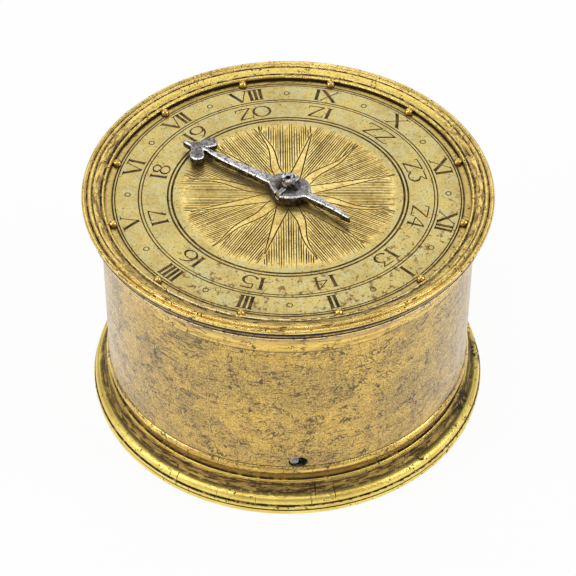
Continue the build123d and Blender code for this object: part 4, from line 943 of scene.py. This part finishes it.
def cut_sun(plan):
    """Rays left plain between their outlines, and parallel lines in the fields between."""
    drawer = random.Random(5)
    for k in range(hours):
        tip = sun_rays[k][0]
        direction = polar(1, ray_azimuth(k))
        for side in (-1, 1):
            points, widths = [], []
            for j in range(ray_line_steps + 1):
                share = j / ray_line_steps
                radius = ray_root_radius + (tip - ray_root_radius) * j / ray_line_steps
                across = ray_sway(k, radius) + side * (ray_half_width(k, radius) + ray_line_gap)
                points.append(off_axis(direction, radius, across))
                widths.append(ray_line_width - ray_line_thinning * abs(2 * share - 1) ** 3)
            plan.groove(points, widths, ray_line_depth)
    for k in range(hours):
        direction = polar(1, ray_azimuth(k) - hour_step / 2)
        lines = int(hatch_field_width / hatch_step)
        for j in range(lines):
            offset = (j - (lines - 1) / 2) * hatch_step + drawer.uniform(-0.05, 0.05)
            last = hatch_last_radius + drawer.uniform(-1.3, 0.3)
            start = hatch_start(k, direction, offset)
            end = math.sqrt(max(last ** 2 - offset ** 2, 0))
            if start is None or end - start < hatch_shortest:
                continue
            start += drawer.uniform(0, 0.35)
            widest = drawer.uniform(0.16, 0.28)
            points, widths = [], []
            for m in range(hatch_steps + 1):
                share = m / hatch_steps
                points.append(off_axis(direction, start + (end - start) * share, offset))
                swell = min(1, 0.45 + 2.2 * share, 0.3 + 3 * (1 - share))
                widths.append(max(hatch_thinnest, widest * swell))
            plan.groove(points, widths, hatch_depth)


def hatch_start(k, direction, offset):
    """Where a line of the field after ray k comes clear of the two rays beside it."""
    start = None
    along = 18.5
    while along > 3:
        x, y = off_axis(direction, along, offset)
        radius = math.hypot(x, y)
        clear = radius > hatch_first_radius
        for ray in (k, k + 1):
            rx, ry = polar(1, ray_azimuth(ray))
            forward = x * rx + y * ry
            across = -x * ry + y * rx - ray_sway(ray, forward)
            near = abs(across) < ray_half_width(ray, forward) + hatch_margin
            beyond = across > 0 if ray == k else across < 0
            if near or beyond:
                clear = False
        if not clear:
            break
        start = along
        along -= 0.2
    return start


def circle(radius, count):
    """Points round the clock's axis, from +X."""
    return [polar(radius, 360 * k / count) for k in range(count)]


def engraved_dial():
    """The dial plate, with everything that is engraved on it as real grooves."""
    plan = Engraving()
    outer = circle(dial_radius, dial_edge_points)
    inner = circle(arbor_hole_radius, hole_edge_points)
    plan.plain_loop(outer)
    plan.plain_loop(inner)
    for ring in engraved_rings:
        cut_ring(plan, *ring)
    for k in range(hours):
        azimuth = ray_azimuth(k)
        half_hour = polar(half_hour_radius, azimuth - hour_step / 2)
        cut_number(plan, roman_hours[k], roman_base, roman_height, azimuth, roman_depth)
        cut_number(plan, inner_hours[k], inner_base, inner_height, azimuth, inner_depth)
        cut_ring(plan, half_hour_circle, half_hour_line, half_hour_depth, half_hour, 2, 8)
    cut_sun(plan)
    vertices, faces, kinds = plan.mesh()
    # Edge, bore and underside of the plate
    base = len(vertices)
    top_outer = nearest_ring(vertices, outer)
    top_inner = nearest_ring(vertices, inner)
    low_outer = range(base, base + len(outer))
    low_inner = range(base + len(outer), base + len(outer) + len(inner))
    vertices += [(x * MM, y * MM, dial_bottom * MM) for x, y in outer + inner]
    for upper, lower, flip in ((top_outer, low_outer, False), (top_inner, low_inner, True)):
        count = len(lower)
        for k in range(count):
            after = (k + 1) % count
            face = [upper[k], lower[k], lower[after], upper[after]]
            faces.append(face[::-1] if flip else face)
    ratio = len(outer) // len(inner)
    for k in range(len(inner)):
        after = (k + 1) % len(inner)
        fan = [low_outer[(k * ratio + j) % len(outer)] for j in range(ratio + 1)]
        faces.append(fan[::-1] + [low_inner[k], low_inner[after]])
    kinds += [0] * (len(faces) - len(kinds))
    mesh = bpy.data.meshes.new("engraved_dial")
    mesh.from_pydata(vertices, [], faces)
    mesh.materials.append(slot_materials["dial_brass"])
    mesh.materials.append(engraving)
    mesh.polygons.foreach_set("material_index", kinds)
    mesh.validate()
    piece = placed("engraved_dial", mesh)
    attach(piece, "drum")
    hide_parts("dial")


def nearest_ring(vertices, points):
    """Indices of the vertices that stand at the given places."""
    wanted = {(round(x, 3), round(y, 3)): k for k, (x, y) in enumerate(points)}
    found = [None] * len(points)
    for index, (x, y, _) in enumerate(vertices):
        key = (round(x / MM, 3), round(y / MM, 3))
        if key in wanted:
            found[wanted[key]] = index
    return found


# Hand

def slab(outline, low, high, chamfer):
    """An extruded outline with a chamfered top edge, in the hand's own plan."""
    count = len(outline)
    inset = offset_loop(outline, chamfer)
    levels = [(outline, low), (outline, high - chamfer), (inset, high)]
    vertices = [(x, y, z) for loop, z in levels for x, y in loop]
    faces = []
    for step in range(len(levels) - 1):
        for k in range(count):
            a, b = step * count + k, step * count + (k + 1) % count
            faces.append([a, b, b + count, a + count])
    faces.append(list(range(count))[::-1])
    faces.append([2 * count + k for k in range(count)])
    return vertices, faces


def cut_along(outline, degrees, distance):
    """The part of a convex outline that lies at least distance to the right of a direction."""
    nx, ny = math.sin(math.radians(degrees)), -math.cos(math.radians(degrees))
    kept = []
    for k in range(len(outline)):
        (ax, ay), (bx, by) = outline[k - 1], outline[k]
        a, b = ax * nx + ay * ny - distance, bx * nx + by * ny - distance
        if a * b < 0:
            t = a / (a - b)
            kept.append((ax + (bx - ax) * t, ay + (by - ay) * t))
        if b >= 0:
            kept.append((bx, by))
    return kept


def offset_loop(loop, distance):
    """Loop, anticlockwise, moved inwards along its corners' bisectors."""
    moved_loop = []
    count = len(loop)
    for k in range(count):
        (ax, ay), (bx, by), (cx, cy) = loop[k - 1], loop[k], loop[(k + 1) % count]
        before = Vector((bx - ax, by - ay)).normalized()
        after = Vector((cx - bx, cy - by)).normalized()
        inward = Vector((-before.y - after.y, before.x + after.x))
        if inward.length < 1e-6:
            inward = Vector((-after.y, after.x))
        inward.normalize()
        lean = max(0.45, inward.dot(Vector((-after.y, after.x))))
        moved_loop.append((bx + inward.x * distance / lean, by + inward.y * distance / lean))
    return moved_loop


def smooth_run(points):
    """Rounds an open run of points by a smooth curve through them."""

    def between(a, b, c, d, t):
        bend = (2 * a - 5 * b + 4 * c - d) * t * t + (3 * b - a - 3 * c + d) * t ** 3
        return 0.5 * (2 * b + (c - a) * t + bend)

    count = 5
    out = []
    for k in range(len(points) - 1):
        around = points[max(k - 1, 0)], points[k], points[k + 1], points[min(k + 2, len(points) - 1)]
        for j in range(count):
            out.append(tuple(between(*values, j / count) for values in zip(*around)))
    out.append(points[-1])
    return out


def hand_outlines():
    """Head with its bar, hub and tail, each anticlockwise with the head along +X."""
    far_lobe = [
        (18.25, -0.74), (17.95, -1.0), (17.5, -1.5), (17.15, -2.2), (17.3, -2.95), (17.9, -3.5),
        (18.65, -3.72), (19.35, -3.42), (19.8, -2.75), (20.0, -2.0), (20.45, -1.3), (21.1, -0.82),
        (21.9, -0.46),
    ]
    near_lobe = [
        (21.9, 0.46), (21.2, 0.5), (20.65, 0.85), (20.25, 1.5), (19.95, 2.25), (19.45, 2.85),
        (18.7, 3.22), (17.85, 3.22), (17.25, 2.7), (17.05, 1.95), (17.35, 1.15), (17.9, 0.62), (18.4, 0.12),
    ]
    head = [(0.0, -1.1), (5.0, -0.9), (13.65, -0.68), (16.6, -0.66)]
    head += smooth_run(far_lobe)
    head += [(22.9, -0.2), (23.0, 0.05), (22.6, 0.4)]
    head += smooth_run(near_lobe)
    head += [(17.7, 0.1), (16.9, 0.3), (15.7, 0.52), (14.0, 0.74), (5.0, 1.15), (0.0, 1.3)]
    hub = [
        (3.8, -0.7), (3.6, 1.1), (2.3, 2.2), (1.15, 2.92), (0.1, 3.45), (-0.6, 3.45), (-1.75, 2.95),
        (-3.0, 2.1), (-3.8, 1.1), (-4.3, 0.2), (-4.2, -1.1), (-3.4, -2.15), (-2.45, -2.95), (-1.3, -3.4),
        (0.0, -3.5), (0.7, -3.48), (1.8, -3.15), (2.9, -2.55), (3.7, -1.5),
    ]
    tail = [
        (-1.0, 0.85), (-6.5, 0.88), (-8.2, 0.98), (-10.2, 1.1), (-13.1, 1.5), (-13.6, 1.5), (-13.85, 1.2),
        (-13.6, 0.85), (-12.2, 0.4), (-10.1, -0.02), (-8.4, -0.2), (-6.5, -0.66), (-4.8, -0.66),
        (-1.0, -0.75),
    ]
    return head, hub, tail


def forged_hand():
    """The hand in one piece, with softened edges and a dented skin. Its pin lies in a groove."""
    head, hub, tail = hand_outlines()
    blade_low = hub_top - blade_thickness
    layers = [
        (head, blade_low, hub_top, head_chamfer),
        (tail, blade_low, hub_top, tail_chamfer),
        (hub, hub_bottom, hub_top - groove_depth, hidden_chamfer),
    ]
    for degrees in (pin_angle - hand_angle, pin_angle - hand_angle + 180):
        layers.append((cut_along(hub, degrees, groove_half_width), hub_bottom, hub_top, hub_chamfer))
    vertices, faces = [], []
    for layer in layers:
        base = len(vertices)
        layer_vertices, layer_faces = slab(*layer)
        vertices += layer_vertices
        faces += [[base + k for k in face] for face in layer_faces]
    direction = polar(1, hand_angle)
    turned = [(*off_axis(direction, x, y), z) for x, y, z in vertices]
    mesh = bpy.data.meshes.new("forged_hand")
    mesh.from_pydata([(x * MM, y * MM, z * MM) for x, y, z in turned], [], faces)
    piece = placed("forged_hand", mesh)
    remesh = piece.modifiers.new("skin", "REMESH")
    remesh.mode = "VOXEL"
    remesh.voxel_size = skin_voxel * MM
    remesh.adaptivity = 0.0
    hammer = bpy.data.textures.new("hammering", "CLOUDS")
    hammer.noise_scale = dent_size * MM
    dents = piece.modifiers.new("dents", "DISPLACE")
    dents.texture = hammer
    dents.strength = dent_height * MM
    dents.mid_level = dent_middle
    dents.texture_coords = "LOCAL"
    baked = bpy.data.meshes.new_from_object(piece.evaluated_get(bpy.context.evaluated_depsgraph_get()))
    piece.modifiers.clear()
    piece.data = baked
    for polygon in baked.polygons:
        polygon.use_smooth = True
    baked.materials.clear()
    baked.materials.append(slot_materials["hand_iron"])
    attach(piece, "hand")
    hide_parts("hour_hand")


# Camera, floor and lights

camera_distance = 420.94
camera_elevation = 43.449
camera_roll = 0.243
camera_aim_level = 45.8
camera_shift_right = -0.0233
camera_shift_up = -17.633
camera_lens = 146.8
floor_reach = 3.0 * math.sqrt(2)
floor_level = -0.00002
floor_white = 0.94
lamp_aim_level = 0.03

# Lamps: name, direction, elevation, distance, width, height and radiance
lamps = (
    ("back_light", 95, 44, 0.8, 0.9, 0.55, 0.95),
    ("left_light", 200, 30, 0.8, 0.35, 0.5, 3.6),
    ("right_light", -12, 30, 0.8, 0.3, 0.5, 3.6),
    ("front_light", -110, 66, 0.9, 0.22, 0.3, 5.0),
    ("top_light", 90, 82, 0.9, 0.3, 0.22, 2.0),
)


def set_camera():
    """Camera where the photograph was taken from, aimed above the middle of the dial."""
    turn = Matrix.Rotation(math.radians(90 - camera_elevation), 4, "X")
    turn @= Matrix.Rotation(math.radians(camera_roll), 4, "Z")
    eye = turn @ Vector((camera_shift_right, camera_shift_up, camera_distance))
    eye += Vector((0, 0, camera_aim_level))
    data = bpy.data.cameras.new("camera")
    data.sensor_width = 36
    data.lens = camera_lens
    data.clip_start = 0.01
    camera = placed("camera", data)
    camera.matrix_world = Matrix.Translation(eye * MM) @ turn
    bpy.context.scene.camera = camera


def white_floor():
    """Pale floor that reads white to the eye and to the metal, and keeps the soft shadow."""
    mesh = bpy.data.meshes.new("floor")
    corners = [polar(floor_reach, degrees) for degrees in (225, 315, 45, 135)]
    mesh.from_pydata([(x, y, floor_level) for x, y in corners], [], [(0, 1, 2, 3)])
    floor = placed("floor", mesh)
    paint = Paint("floor")
    paint.finish((0.9, 0.9, 0.9), 0.9, 0.0)
    paint.surface.inputs["Specular IOR Level"].default_value = 0.1
    rays = paint.node("LightPath").outputs
    seen = paint.most(rays["Is Camera Ray"], rays["Is Glossy Ray"], rays["Is Transmission Ray"])
    share = paint.math("MULTIPLY", seen, floor_white)
    glow = paint.node("Emission", {"Color": (1, 1, 1)}).outputs[0]
    mixed = paint.node("MixShader", {0: share, 1: paint.surface.outputs[0], 2: glow}).outputs[0]
    paint.put(mixed, paint.tree.nodes["Material Output"].inputs["Surface"])
    mesh.materials.append(paint.material)


def softbox(name, direction, elevation, distance, width, height, radiance):
    """Rectangular lamp that faces the dial. Its power follows from its area and radiance."""
    centre = Vector((0, 0, lamp_aim_level))
    x, y = polar(math.cos(math.radians(elevation)), direction)
    towards = Vector((x, y, math.sin(math.radians(elevation))))
    data = bpy.data.lights.new(name, "AREA")
    data.shape = "RECTANGLE"
    data.size = width
    data.size_y = height
    data.energy = radiance * math.pi * width * height
    turn = towards.to_track_quat("Z", "Y").to_matrix().to_4x4()
    placed(name, data).matrix_world = Matrix.Translation(centre + towards * distance) @ turn


def studio():
    """Soft lamps round the clock, and a pale world between them."""
    for lamp in lamps:
        softbox(*lamp)
    world = bpy.data.worlds.new("studio")
    world.use_nodes = True
    background = world.node_tree.nodes["Background"]
    background.inputs["Color"].default_value = (0.95, 0.97, 1, 1)
    background.inputs["Strength"].default_value = 0.42
    bpy.context.scene.world = world
    bpy.context.scene.view_settings.view_transform = "Standard"


dress_frame()
engraved_dial()
forged_hand()
set_camera()
white_floor()
studio()
